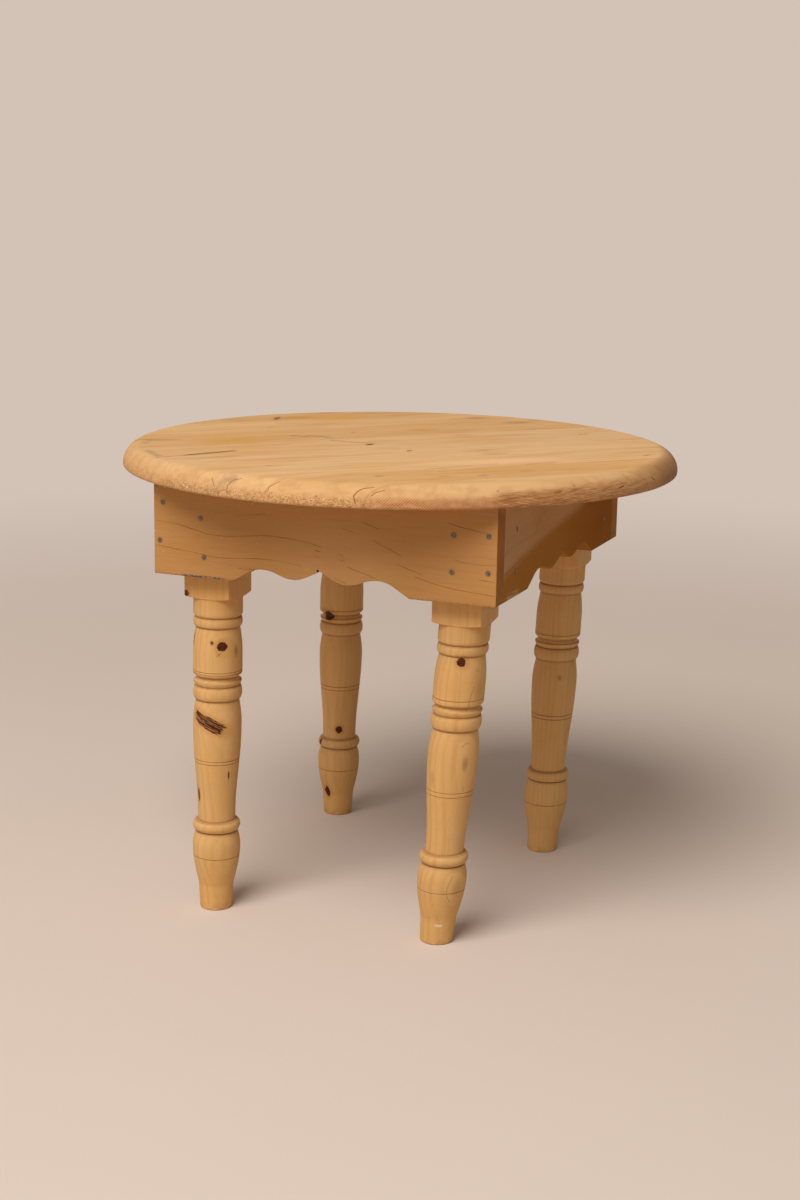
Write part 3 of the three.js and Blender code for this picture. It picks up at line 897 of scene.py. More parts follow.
def board_mesh(half, pad, nails, seed, torn_pad):
    """Scalloped board with its outer face at y = 0, waved a little, and dimpled at its nails."""
    edge = scallop(half, pad)
    cut = half - pad
    corners = {0, cut * BULGE_SHARE, cut * ARCH_SHARE, cut * DIAGONAL_SHARE, cut}
    loops = []
    for x, inset in board_stations(half, corners):
        tear = SAW_TEAR * smooth_step(abs(x), cut - SAW_TEAR_FADE, cut + SAW_TEAR_FADE)
        tear *= max(rough((x, 0, 0), SAW_TEAR_LENGTH, seed), 0)
        tear *= 1 if torn_pad and x < 0 else PLAIN_TEAR_SHARE
        loop = []
        for y, z in board_section(height_at(edge, abs(x)) + tear, inset):
            near = min(math.dist((x, z), nail) for nail in nails)
            wave = hollow((x, y, z), BOARD_WAVE, seed)
            wave += NAIL_DIMPLE * smooth_step(near, NAIL_DIMPLE_RADIUS, NAIL_HEAD_RADIUS / 2)
            loop.append((x, y + smooth_step(y, BOARD_THICKNESS / 2, 0) * wave, z))
        loops.append(loop)
    return loft(loops)


# Turned legs
def course(kind, t):
    """How far a stretch of the profile has gone in radius and in level, at a share of its steps."""
    sine, cosine = math.sin(math.pi / 2 * t), math.cos(math.pi / 2 * t)
    return {
        "straight": (t, t),
        "swell": (sine, t),
        "shrink": (1 - cosine, t),
        "cove": (1 - cosine, sine),
        "ease": ((1 - math.cos(math.pi * t)) / 2, t),
        "bead": (math.sin(math.pi * t), (1 - math.cos(math.pi * t)) / 2),
    }[kind]


def add_stretch(points, kind, end, crown=None):
    """Adds points from the last one down to an end, by way of its crown where the stretch is a bead."""
    start = points[-1]
    steps = max(round((start[1] - end[1]) / LEG_STEP), BEAD_STEPS // 2)
    if kind in ("cove", "bead"):
        steps = BEAD_STEPS
    for i in range(1, steps + 1):
        out, down = course(kind, i / steps)
        root = end[0] if i == steps else start[0]
        points.append((root + ((crown or end[0]) - root) * out, start[1] + (end[1] - start[1]) * down))


def leg_profile():
    """(radius, level) points of the turned part, from the block's foot down to the floor."""
    points = [(NECK_RADIUS, BLOCK_BOTTOM)]
    for stretch in (
        ("straight", NECK_FOOT), ("shrink", NECK_GROOVE), ("bead", BEAD_GROOVE, UPPER_BEAD_RADIUS),
        ("swell", BARREL_BELLY), ("straight", BARREL_HEEL), ("shrink", BARREL_GROOVE), ("cove", FLANGE),
        ("shrink", FLANGE_GROOVE), ("bead", VASE_GROOVE, FAT_BEAD_RADIUS), ("swell", VASE), ("ease", WAIST),
        ("bead", RING_GROOVE, RING_RADIUS), ("swell", BULB), ("shrink", ANKLE), ("straight", FOOT),
    ):
        add_stretch(points, *stretch)
    return points + [(FOOT[0] - FOOT[1], 0)]


def scribed(profile, levels, finer):
    """The profile with a narrow groove at each scribed level and more points, running upwards."""
    points = []
    upwards = profile[::-1]
    inside = [z + SCRIBE_WIDTH * k for z in levels for k in (-1, -0.5, 0, 0.5, 1)] + finer
    for (r0, z0), (r1, z1) in zip(upwards, upwards[1:]):
        cuts = sorted(z for z in inside if z0 < z < z1)
        points.append((r0, z0))
        points.extend((r0 + (r1 - r0) * (z - z0) / (z1 - z0), z) for z in cuts)
    points.append(upwards[-1])
    grooved = []
    for radius, level in points:
        near = min(abs(level - z) for z in levels)
        grooved.append((radius - SCRIBE_DEPTH * smooth_step(near, SCRIBE_WIDTH, 0), level))
    return grooved


def spread(middle, reach, step):
    """Evenly spaced values about a middle."""
    count = math.ceil(2 * reach / step)
    return [middle - reach + 2 * reach * i / count for i in range(count + 1)]


def knot_reach(half_round, half_height, turn):
    """How far a turned oval reaches round the leg and up it."""
    cosine, sine = cos_sin(turn)
    aside = math.hypot(half_round * cosine, half_height * sine)
    return aside, math.hypot(half_round * sine, half_height * cosine)


def relief_spots(name):
    """The knots of a leg that show in its relief, each with whether it is torn bark."""
    knots = [(spot, False) for spot in LEGS[name]["knots"] if spot[5] >= FAINT_DEPTH]
    return knots + [(spot, True) for spot in LEGS[name]["bark"]]


def knot_sink(spots, angle, radius, level):
    """How far the surface lies back at knots of a leg, where the wood has shrunk and torn."""
    sink = 0
    for (degrees, middle, half_round, half_height, turn, depth), is_bark in spots:
        aside = ((angle - math.radians(degrees) + math.pi) % TURN - math.pi) * radius
        cosine, sine = cos_sin(turn)
        u = aside * cosine + (level - middle) * sine
        v = (level - middle) * cosine - aside * sine
        distance = math.hypot(u / half_round, v / half_height)
        if distance > 2:
            continue
        if is_bark:
            streak = rough((u / BARK_STREAK_LENGTH, v / BARK_STREAK_WIDTH, 0), 1, 4)
            sink += BARK_SINK * smooth_step(distance + 0.3 * streak, 1.1, 0.8) * (0.6 + 0.8 * streak)
        else:
            edge = smooth_step(abs(distance - 0.9), 0.3, 0)
            sink += KNOT_SINK * depth * (edge + smooth_step(distance, 1, 0.5) / 2)
    return sink


def leg_angles(spots):
    """Angles of the points round a leg, closer together at its knots."""
    angles = [TURN * i / LEG_SEGMENTS for i in range(LEG_SEGMENTS)]
    corner = math.atan(BLOCK_EASE / BLOCK_SIDE)
    angles += [TURN / 8 + TURN / 4 * i + side * corner for i in range(4) for side in (-1, 1)]
    finer = []
    for (degrees, _, *oval_size, _), _ in spots:
        reach = (knot_reach(*oval_size)[0] + KNOT_MARGIN) / BARREL_RADIUS
        finer += spread(math.radians(degrees), reach, KNOT_STEP / BARREL_RADIUS)
    least = KNOT_STEP / BARREL_RADIUS / 2
    for angle in sorted(value % TURN for value in finer):
        if all(abs(angle - other) > least for other in angles):
            angles.append(angle)
    return sorted(angles)


def square_reach(angle, half):
    """Distance from the axis to the side of a square, its upright corners eased."""
    plain = half / max(abs(math.cos(angle)), abs(math.sin(angle)))
    return min(plain, half * math.sqrt(2) - BLOCK_EASE * (math.sqrt(2) - 1))


def block_loops(angles):
    """Loops of the square block: over its turned-off shoulder, then up its sides to the frame's top."""
    half = BLOCK_SIDE / 2
    slope = SHOULDER_RISE / (half * math.sqrt(2) - half)
    reaches = [square_reach(a, half) for a in angles]
    edges = [BLOCK_BOTTOM + slope * max(reach - half, 0) for reach in reaches]
    loops = []
    for i in range(1, SHOULDER_STEPS + 1):
        radii = [NECK_RADIUS + (reach - BOARD_EASE - NECK_RADIUS) * i / SHOULDER_STEPS for reach in reaches]
        loops.append(ring_loop(angles, radii, [BLOCK_BOTTOM + slope * max(r - half, 0) for r in radii]))
    for out, rise in quarter_turn(EASE_STEPS)[1:]:
        radii = [reach - BOARD_EASE * (1 - out) for reach in reaches]
        loops.append(ring_loop(angles, radii, [edge + BOARD_EASE * rise for edge in edges]))
    steps = round((FRAME_TOP - BLOCK_BOTTOM) / LEG_STEP / 3)
    for i in range(1, steps + 1):
        levels = [edge + BOARD_EASE + (FRAME_TOP - edge - BOARD_EASE) * i / steps for edge in edges]
        loops.append(ring_loop(angles, reaches, levels))
    return loops


def leg_mesh(name, seed):
    spots = relief_spots(name)
    angles = leg_angles(spots)
    reaches = [knot_reach(*spot[2:5])[1] for spot, _ in spots]
    finer = []
    for (spot, _), reach in zip(spots, reaches):
        finer += spread(spot[1], reach + KNOT_MARGIN, KNOT_STEP)
    loops = []
    for radius, level in scribed(leg_profile(), LEGS[name]["scribes"], finer):
        near = [pair for pair, reach in zip(spots, reaches) if abs(level - pair[0][1]) < 2 * reach]
        radii = []
        for a in angles:
            side = (radius * math.cos(a), radius * math.sin(a), level)
            wave = LEG_WAVE[0] * rough(side, LEG_WAVE[1], seed)
            radii.append(radius + wave - knot_sink(near, a, radius, level))
        loops.append(ring_loop(angles, radii, [level] * len(angles)))
    lean_x, lean_y = LEGS[name]["lean"]
    leant = []
    for loop in loops + block_loops(angles):
        drops = [max(BLOCK_BOTTOM - z, 0) for _, _, z in loop]
        leant.append([(x + drop * lean_x, y + drop * lean_y, z) for (x, y, z), drop in zip(loop, drops)])
    return loft(leant)


# Nails and screws
def nail_mesh():
    """Nail driven along +Y from the board's face, its head standing a little proud."""
    neck = NAIL_HEAD_THICKNESS - NAIL_PROUD
    rim = NAIL_HEAD_RADIUS - NAIL_HEAD_EASE
    profile = [
        (rim / 3, -NAIL_PROUD - NAIL_DOME),
        (rim * 2 / 3, -NAIL_PROUD - NAIL_DOME * 2 / 3),
        (rim, -NAIL_PROUD),
        (NAIL_HEAD_RADIUS, -NAIL_PROUD + NAIL_HEAD_EASE),
        (NAIL_HEAD_RADIUS, neck - NAIL_HEAD_EASE),
        (rim, neck),
        (NAIL_RADIUS, neck + NAIL_HEAD_EASE),
        (NAIL_RADIUS, NAIL_LENGTH - NAIL_POINT),
        (NAIL_RADIUS * POINT_SHARE, NAIL_LENGTH),
    ]
    vertices, faces = loft(turned_loops(profile, NAIL_SEGMENTS))
    return [(x, z, -y) for x, y, z in vertices], faces


def screw_mesh():
    """Countersunk screw that points up from its head's face at z = 0, before its slot is cut."""
    profile = [
        (SCREW_HEAD_RADIUS - NAIL_HEAD_EASE, 0),
        (SCREW_HEAD_RADIUS, NAIL_HEAD_EASE),
        (SCREW_RADIUS, SCREW_HEAD_HEIGHT),
        (SCREW_RADIUS, SCREW_LENGTH - SCREW_POINT),
        (SCREW_RADIUS * POINT_SHARE, SCREW_LENGTH),
    ]
    return loft(turned_loops(profile, NAIL_SEGMENTS))


def make_screw_source():
    """One screw with its slot, whose mesh all the screws share."""
    screw = make_object("screw_source", *screw_mesh())
    x, y = SCREW_HEAD_RADIUS + SLOT_OVERRUN, SLOT_WIDTH / 2
    loops = [[(-x, -y, z), (x, -y, z), (x, y, z), (-x, y, z)] for z in (-SLOT_DEPTH, SLOT_DEPTH)]
    slot = make_object("slot_source", *loft(loops))
    cut = screw.modifiers.new("slot", "BOOLEAN")
    cut.object = slot
    cut.operation = "DIFFERENCE"
    bpy.context.view_layer.update()
    mesh = bpy.data.meshes.new_from_object(screw.evaluated_get(bpy.context.evaluated_depsgraph_get()))
    for item in (screw, slot):
        bpy.data.objects.remove(item)
    return mesh


# Shader graphs
def linear(color):
    """Linear colour of one written with 0 to 255."""
    shares = [channel / 255 for channel in color]
    return [s / 12.92 if s <= 0.04045 else ((s + 0.055) / 1.055) ** 2.4 for s in shares] + [1]


class Wire:
    """A value in a shader graph that can be reckoned with: a number, a place or a colour."""

    def __init__(self, graph, socket):
        self.graph = graph
        self.socket = socket
        self.is_number = socket.type == "VALUE"

    def reckon(self, operation, a, b):
        """Arithmetic of two numbers or two places. A number scales a place."""
        a_number, b_number = (getattr(v, "is_number", isinstance(v, (int, float))) for v in (a, b))
        if a_number and b_number:
            return self.graph.math(operation, a, b)
        if a_number or b_number:
            scaled, factor = (b, a) if a_number else (a, b)
            return self.graph.add("VectorMath", {0: scaled, 3: factor}, operation="SCALE")
        return self.graph.add("VectorMath", {0: a, 1: b}, operation=operation)

    def __add__(self, other):
        return self.reckon("ADD", self, other)

    def __sub__(self, other):
        return self.reckon("SUBTRACT", self, other)

    def __rsub__(self, other):
        return self.reckon("SUBTRACT", other, self)

    def __mul__(self, other):
        return self.reckon("MULTIPLY", self, other)

    def __truediv__(self, other):
        return self.reckon("DIVIDE", self, other)

    def __abs__(self):
        return self.graph.math("ABSOLUTE", self)

    __radd__ = __add__
    __rmul__ = __mul__

    def measure(self, operation, other=(0, 0, 0)):
        return self.graph.add("VectorMath", {0: self, 1: other}, 1, operation=operation)

    def length(self):
        return self.measure("LENGTH")

    def turned(self, degrees):
        inputs = {"Vector": self, "Angle": math.radians(degrees)}
        return self.graph.add("VectorRotate", inputs, rotation_type="Z_AXIS")

    def parts(self):
        first = self.graph.add("SeparateXYZ", {0: self})
        return [Wire(self.graph, socket) for socket in first.socket.node.outputs]

    def step(self, low, high):
        """0 at low, 1 at high, and smooth between them, whichever is greater."""
        return self.graph.add("MapRange", {"Value": self, 1: low, 2: high}, interpolation_type="SMOOTHSTEP")

    def span(self, low, high, to_low, to_high):
        return self.graph.add("MapRange", {"Value": self, 1: low, 2: high, 3: to_low, 4: to_high})


class Graph:
    """Short calls that add nodes to one tree, of a material or the world."""

    def __init__(self, owner):
        owner.use_nodes = True
        self.owner = owner
        self.tree = owner.node_tree
        self.shader = self.tree.nodes.get("Principled BSDF")

    def feed(self, socket, value):
        """Links a value to a socket or sets it there. Three numbers are a colour's as on a screen."""
        value = getattr(value, "socket", value)
        if isinstance(value, bpy.types.NodeSocket):
            self.tree.links.new(value, socket)
        elif socket.type == "RGBA" and len(value) == 3:
            socket.default_value = linear(value)
        else:
            socket.default_value = value

    def add(self, kind, inputs=None, output=0, **settings):
        node = self.tree.nodes.new("ShaderNode" + kind)
        for key, value in settings.items():
            setattr(node, key, value)
        for key, value in (inputs or {}).items():
            self.feed(node.inputs[key], value)
        return Wire(self, node.outputs[output])

    def math(self, operation, *values, clamp=False):
        return self.add("Math", dict(enumerate(values)), operation=operation, use_clamp=clamp)

    def joined(self, x, y):
        return self.add("CombineXYZ", {0: x, 1: y})

    def mix(self, color, tint, share, blend="MIX"):
        return self.add("Mix", {0: share, 6: color, 7: tint}, 2, data_type="RGBA", blend_type=blend)

    def noise(self, point, stretch, seed, detail, output="Fac"):
        """Noise with so many cells to a millimetre, along each axis where they differ."""
        stretch = stretch if isinstance(stretch, tuple) else (stretch,) * 3
        inputs = {"Vector": point * stretch, "W": seed, "Scale": 1, "Detail": detail}
        return self.add("TexNoise", inputs, output, noise_dimensions="4D")

    def cloud(self, point, name, seed=0):
        """The noise of a cloud, and its mask."""
        stretch, own_seed, detail, low, high, *_ = CLOUDS[name]
        value = self.noise(point, stretch, own_seed + seed, detail)
        return value, value.step(low, high)

    def coat(self, color, point, name, mask=1, seed=0):
        """The colour with a cloud laid over it where the mask lets it."""
        *_, strength, tint = CLOUDS[name]
        return self.mix(color, tint, self.cloud(point, name, seed)[1] * mask * strength)

    def varying(self, point, name, seed=0):
        stretch, own_seed, detail, *levels = VARYINGS[name]
        return self.noise(point, stretch, own_seed + seed, detail).span(*levels)

    def extreme(self, operation, values):
        """The least or the greatest of values, as the operation says."""
        result = values[0]
        for value in values[1:]:
            result = self.math(operation, result, value)
        return result

    def finish(self, color, height, roughness, kind, metallic=0, shine=WOOD_SHINE):
        """Feeds the shader and gives back the material."""
        self.feed(self.shader.inputs["Base Color"], color)
        self.feed(self.shader.inputs["Roughness"], roughness)
        self.shader.inputs["Metallic"].default_value = metallic
        self.shader.inputs["Specular IOR Level"].default_value = shine
        bump = self.add("Bump", {"Strength": 1, "Distance": BUMPS[kind] * MM, "Height": height})
        self.feed(self.shader.inputs["Normal"], bump)
        return self.owner


def surface(name):
    """The graph of a new material, and the object's places in millimetres."""
    g = Graph(bpy.data.materials.new(name))
    return g, g.add("TexCoord", output="Object") * (1 / MM)


# Parts of the wood's look. A point is in millimetres, and its X runs along the fibres.
def wobbled(g, point, name, seed=0):
    """The point moved a little this way and that."""
    reach, length, own_seed = WOBBLES[name]
    return point + (g.noise(point, 1 / length, own_seed + seed, 2, "Color") - (0.5, 0.5, 0.5)) * (reach * 2)


def wood(g, point, look, seed, endness=None, bend=0):
    """Colour and height of pine: rings about a pith, bands, fibres, streaks, patches and resin dashes."""
    wander = g.noise(point, (0.0035, 0.011, 0.011), seed, 2, "Color") - (0.5, 0.5, 0.5)
    offset = point + wander * look["wander"] - (0, *look["pith"])
    ring = (offset * (0, 1, 1)).length() / look["gap"] + bend
    phase = g.math("FRACT", ring)
    vary = g.add("TexWhiteNoise", {"W": g.math("FLOOR", ring)}, "Value", noise_dimensions="1D")
    late = phase.step(look["early"], 0.93) * phase.step(1, 0.95) * vary.span(0, 1, 0.2, 1) * look["contrast"]
    color = look["pale"]
    if endness:
        late = late * endness.span(0, 1, 1, 0.8)
        color = g.mix(color, look["end"], endness)
    color = g.mix(color, look["warm"], g.cloud(point, "patches", seed)[1] * look["patch"])
    color = g.mix(color, BAND_TINT, g.cloud(point, "bands", seed)[1] * look["bands"], "MULTIPLY")
    color = g.mix(color, look["late"], late)
    color = g.mix(color, STREAK_TINT, g.cloud(point, "streaks", seed)[1] * look["streaks"], "MULTIPLY")
    fibres, fibre_mask = g.cloud(point, "fibres", seed)
    color = g.mix(color, FIBRE_TINT, fibre_mask * 0.45, "MULTIPLY")
    return g.coat(color, point, "dashes", seed=seed), late * 0.4 + fibres * 0.5


def oval(flat, centre, radii, turn=0):
    """Distance from the middle of an oval, in its own radii, and the place in it."""
    offset = flat - (*centre, 0)
    offset = offset.turned(-turn) if turn else offset
    inside = offset * (1 / radii[0], 1 / radii[1], 0)
    return inside.length(), inside


def bend_round(distances):
    """Ring shift that leads the grain round knots."""
    return sum(distance.step(3.2, 0.4) * (0.9 * depth) for distance, depth in distances)


def knot(g, color, distance, inside, depth, seed, colors):
    """Halo, dark edge and ringed heart of one knot."""
    edge_color, heart_color = colors
    ragged = distance + g.varying(inside, "knot_edge", seed)
    color = g.mix(color, KNOT_HALO, distance.step(2.4, 0.9) * (0.5 * depth))
    heart = g.mix(edge_color, heart_color, g.cloud(inside, "knot_heart")[1])
    color = g.mix(color, heart, ragged.step(1.08, 0.84) * depth)
    return g.mix(color, edge_color, abs(ragged - 0.95).step(0.2, 0.04) * (0.7 * depth))


def bark_knot(g, color, distance, inside):
    """A knot cut lengthwise: torn bark in dark and pale streaks along it, broader towards its far end."""
    along, across, _ = inside.parts()
    broad = across / along.span(-1, 1, 0.8, 1)
    blunt = [g.math("POWER", abs(value), 3) for value in (along, broad)]
    streaks = g.noise(inside, (1.3, 5, 1), 15, 4)
    ragged = g.math("POWER", blunt[0] + blunt[1], 1 / 3) + streaks.span(0.25, 0.75, -0.36, 0.36)
    color = g.mix(color, KNOT_HALO, distance.step(1.8, 0.9) * 0.45)
    torn = g.mix(BARK_DARK, BARK_PALE, g.cloud(inside, "bark")[1] * along.span(-1, 1, 1, 0.5))
    torn = g.mix(torn, LEG_KNOT[0], abs(streaks - 0.5).step(0.05, 0.01))
    return g.mix(color, torn, ragged.step(1.06, 0.94))


def stroke(g, point, path, half_width, strength, sharp_share=CRACK_SHARP_SHARE):
    """Mask of a line through points, full over a share of its width."""
    gaps = []
    for start, end in zip(path, path[1:]):
        along = Vector(end) - Vector(start)
        offset = point - Vector(start)
        run = offset.measure("DOT_PRODUCT", along)
        share = g.math("DIVIDE", run, along.length_squared, clamp=True)
        gaps.append((offset - share * along).length())
    return g.extreme("MINIMUM", gaps).step(half_width, half_width * sharp_share) * strength


def level_curve(g, along, points):
    """Level of a curve through points, at a place along it."""
    first, last = points[0][0], points[-1][0]
    levels = [z for _, z in points]
    low, high = min(levels) - 1, max(levels) + 1
    level = g.add("FloatCurve", {"Value": along.span(first, last, 0, 1)})
    mapping = level.socket.node.mapping
    handles = mapping.curves[0].points
    places = [((x - first) / (last - first), (z - low) / (high - low)) for x, z in points]
    handles[0].location = places[0]
    handles[1].location = places[-1]
    for spot in places[1:-1]:
        handles.new(*spot)
    mapping.update()
    return level.span(0, 1, low, high)


def grain_line(g, along, level, points):
    """Mask of a grain line whose level follows the points, thinner towards its ends."""
    gap = abs(level - level_curve(g, along, points))
    first, last = points[0][0], points[-1][0]
    ends = along.step(first, first + FRONT_LINE_EASE) * along.step(last, last - FRONT_LINE_EASE)
    return gap.step(FRONT_LINE_WIDTH, FRONT_LINE_WIDTH / 4) * ends


def end_share(g, axis):
    """How squarely the fibres meet the surface, from 0 to 1."""
    return abs(g.add("TexCoord", output="Normal").measure("DOT_PRODUCT", axis)).step(0.45, 0.95)


# Materials
def rim_stretch(degrees, low, high, ease):
    """1 along a stretch of the rim, falling to 0 beyond its ends."""
    return degrees.step(low, low + ease) * degrees.step(high, high - ease)


def torn_rim(g, color, height, run, over, degrees, mask):
    """Torn fibres at the right of the rim, pale hairs and dark tears that cross."""
    first, last, _ = TORN_STRETCH
    fading = degrees.step(first, first + TORN_EASES[0]) * degrees.step(last, last - TORN_EASES[1])
    torn = mask * fading * degrees.span(first, last, 1, TORN_END_SHARE)
    bent = wobbled(g, g.joined(run, over + run * TORN_SLOPE_SHARE), "tears")
    crossed = wobbled(g, g.joined(run, over + run * CROSSED_SLOPE_SHARE), "hairs")
    tears, tear_mask = g.cloud(bent, "tears")
    hairs, hair_mask = g.cloud(crossed, "hairs")
    color = g.mix(color, TORN_BASE, torn * 0.85)
    color = g.mix(color, TORN_PALE, torn * hair_mask * 0.6)
    color = g.mix(color, TORN_DARK_AND_SHADE, torn * tear_mask * 0.65)
    return color, height + torn * (tears + hairs * 0.8) * 1.8


def rim_wear_and_shade(g, color, height, point, endness):
    """Worn rim: pitted end grain, a sawn band in front and torn fibres, painted shade at its right end, and
    the places round it.
    """
    x, y, z = point.parts()
    radius = g.joined(x, y).length()
    angle = g.math("ARCTAN2", y, x)
    angle = angle + g.math("LESS_THAN", angle, 0) * TURN
    degrees = angle * (180 / math.pi)
    over = g.math("ARCTAN2", radius - FLAT_RADIUS, z - ROUNDING_LEVEL) * UPPER_ROUNDING
    run = angle * TOP_RADIUS
    spot = g.joined(run, over)
    rim = radius.step(*RIM_COLOR_FADE)
    lower = rim * z.step(*LOWER_RIM_FADE)

    color = g.mix(color, RIM_PALE, rim * 0.5)
    color = g.coat(color, point, "mottle", rim)
    color = g.coat(color, point, "grime", lower)
    pits = g.add("TexVoronoi", {"Vector": point, "Scale": PIT_SCALE, "Randomness": 1}, "Distance")
    pitted = g.math("MAXIMUM", lower * rim_stretch(degrees, *PITTED_STRETCH), lower * endness * 0.4)
    pitted = pitted * pits.step(0.5, 0.2)
    color = g.mix(color, PIT, pitted * 0.55)
    height = height - pitted * 2

    sawn = lower * rim_stretch(degrees, *SAWN_STRETCH)
    teeth = g.math("SINE", (run + over) * (TURN / SAW_PITCH))
    fade = g.cloud(spot, "sawn")[1]
    color = g.mix(color, SAWN, sawn * 0.6)
    color = g.mix(color, SAWN_LINE, sawn * teeth.step(-0.1, 0.8) * fade * 0.8)
    height = height + sawn * teeth * fade * 0.9

    # Painted shade: the rim's right end darkened with the torn colour
    color = g.mix(color, TORN_DARK_AND_SHADE, rim * rim_stretch(degrees, *RIM_PAINTED_SHADE_STRETCH) * 0.7)
    high = z.step(*(degrees.span(*TORN_RISE, *levels) for levels in TORN_LEVELS))
    color, height = torn_rim(g, color, height, run, over, degrees, rim * high)
    return color, height, spot


def top_stains(g, color, flat, low, high):
    """Soft stains on one board of the top."""
    for u, v, long, wide, tint, strength in TOP_STAINS:
        if within(v, low, high, wide):
            color = g.mix(color, tint, oval(flat, (u, v), (long, wide))[0].step(1.3, 0.15) * strength)
    return color


def top_strokes(g, color, flat, marks, low, high, sharp_share, fade=1):
    """Smudges and scratches, or cracks, of one board of the top."""
    for path, width, tint, strength in marks:
        if any(within(v, low, high) for _, v in path):
            mask = stroke(g, flat, [(u, v, 0) for u, v in path], width, strength, sharp_share)
            color = g.mix(color, tint, mask * fade)
    return color


def rim_marks(g, color, spot, low, high):
    """Checks and small spots of the rim on one board of the top."""
    for path, width, strength in RIM_CHECKS:
        points = [rim_point(*p) for p in path]
        if any(within(p.y, low, high) for p in points):
            color = g.mix(color, CHECK, stroke(g, spot, [rim_place(p) for p in points], width, strength))
    near = wobbled(g, spot, "spots")
    for degrees, level, half, tint in RIM_SPOTS:
        centre = rim_point(degrees, level)
        if within(centre.y, low, high, half):
            gap = near.measure("DISTANCE", rim_place(centre))
            color = g.mix(color, tint, gap.step(half, half * STROKE_SHARP_SHARE) * 0.55)
    return color


def plank_pine(index, low, high):
    """Sanded pine of one board of the top, with its knots, stains, cracks, worn rim and painted shade at the
    rim's right end.
    """
    pale, side, depth, gap, contrast = PLANK_LOOKS[index]
    middle = ((low or -TOP_RADIUS) + (high or TOP_RADIUS)) / 2
    g, point = surface(f"top_pine_{index + 1}")
    point = point.turned(-GRAIN_DEGREES)
    face = point * (1, 1, 0)
    flat = wobbled(g, point, "plank", index) * (1, 1, 0)
    knots = [k for k in TOP_KNOTS if within(k[1], low, high)]
    ovals = [oval(flat, k[:2], k[2:4], k[4]) for k in knots]
    bend = bend_round([(distance, k[5]) for (distance, _), k in zip(ovals, knots)])
    look = WOODS["top"] | dict(pale=pale, pith=(middle + side, depth), gap=gap, contrast=contrast)
    endness = end_share(g, (*cos_sin(GRAIN_DEGREES), 0))
    color, height = wood(g, point, look, index * 17.3, endness, bend)
    color = g.coat(color, point, "top_smudges")
    color, height, spot = rim_wear_and_shade(g, color, height, point, endness)
    color = top_stains(g, color, flat, low, high)
    for (distance, inside), k in zip(ovals, knots):
        color = knot(g, color, distance, inside, k[5], k[0], TOP_KNOT)
    fade = g.varying(point, "strokes")
    color = top_strokes(g, color, flat, TOP_STROKES, low, high, STROKE_SHARP_SHARE, fade)
    color = top_strokes(g, color, face, TOP_CRACKS, low, high, CRACK_SHARP_SHARE)
    color = rim_marks(g, color, spot, low, high)
    for line in (low, high):
        if line is not None:
            color = g.mix(color, GRAIN_LINE, abs(point.parts()[1] - line).step(*SEAM_FADE) * 0.25)
    return g.finish(color, height, g.varying(point, "top_sheen"), "top")


def front_face(g, color, height, point, seed):
    """Front board: painted light in a paler oval, dark grain lines, a small hole, and painted shade on its
    end grain.
    """
    x, y, z = point.parts()
    # Painted light: a paler oval where the top's shadow falls on the board
    color = g.mix(color, FRONT_PAINTED_LIGHT, oval(g.joined(x, z), *FRONT_PAINTED_LIGHT_OVAL)[0].step(1.1, 0.3) * 0.5)
    along, _, level = wobbled(g, point, "front_lines", seed).parts()
    lines = g.extreme("MAXIMUM", [grain_line(g, along, level, points) for points in FRONT_LINES])
    color = g.mix(color, GRAIN_LINE, lines * g.varying(point, "front_grain") * 0.8)
    hole = g.joined(x, z).measure("DISTANCE", FRONT_HOLE).step(*FRONT_HOLE_FADE)
    color = g.mix(color, LEG_KNOT[0], hole)
    endness = end_share(g, (1, 0, 0))
    below = FRAME_HEIGHT - STRIP_DROP - z - y * STRIP_SLOPE_SHARE
    # Painted shade on the end grain, darker towards its foot, and a slanting painted shadow of the top below
    # its upper edge
    color = g.mix(color, END_PAINTED_SHADE, endness * z.step(FRAME_HEIGHT, 0) * 0.3)
    painted_shadow = endness * below.step(0, STRIP_EASE) * below.step(STRIP_REACH, STRIP_REACH / 4)
    return g.mix(color, END_PAINTED_SHADE, painted_shadow * 0.5), height - lines * 0.6


def heartwood(g, color, point, seed):
    """Darker heartwood over the lower part of the right board, deepened towards its back end as painted
    shade, and chalk at its front foot.
    """
    x, _, z = point.parts()
    depth = level_curve(g, x, HEART_EDGE) - z
    # Painted shade: the heartwood grows darker towards the board's back end
    tint = g.mix(SIDE_HEART, SIDE_HEART_PAINTED_SHADE, x.step(*HEART_PAINTED_SHADE_FADE))
    color = g.mix(color, tint, depth.step(*HEART_FADE) * g.varying(point, "heart", seed))
    line = abs(depth).step(HEART_LINE_WIDTH, 0) * x.step(*HEART_LINE_FADE)
    color = g.mix(color, GRAIN_LINE, line * 0.4)
    chalk = z.step(*CHALK_LEVELS) * x.step(*CHALK_FADES[0]) * x.step(*CHALK_FADES[1])
    return g.coat(color, point, "chalk", chalk)


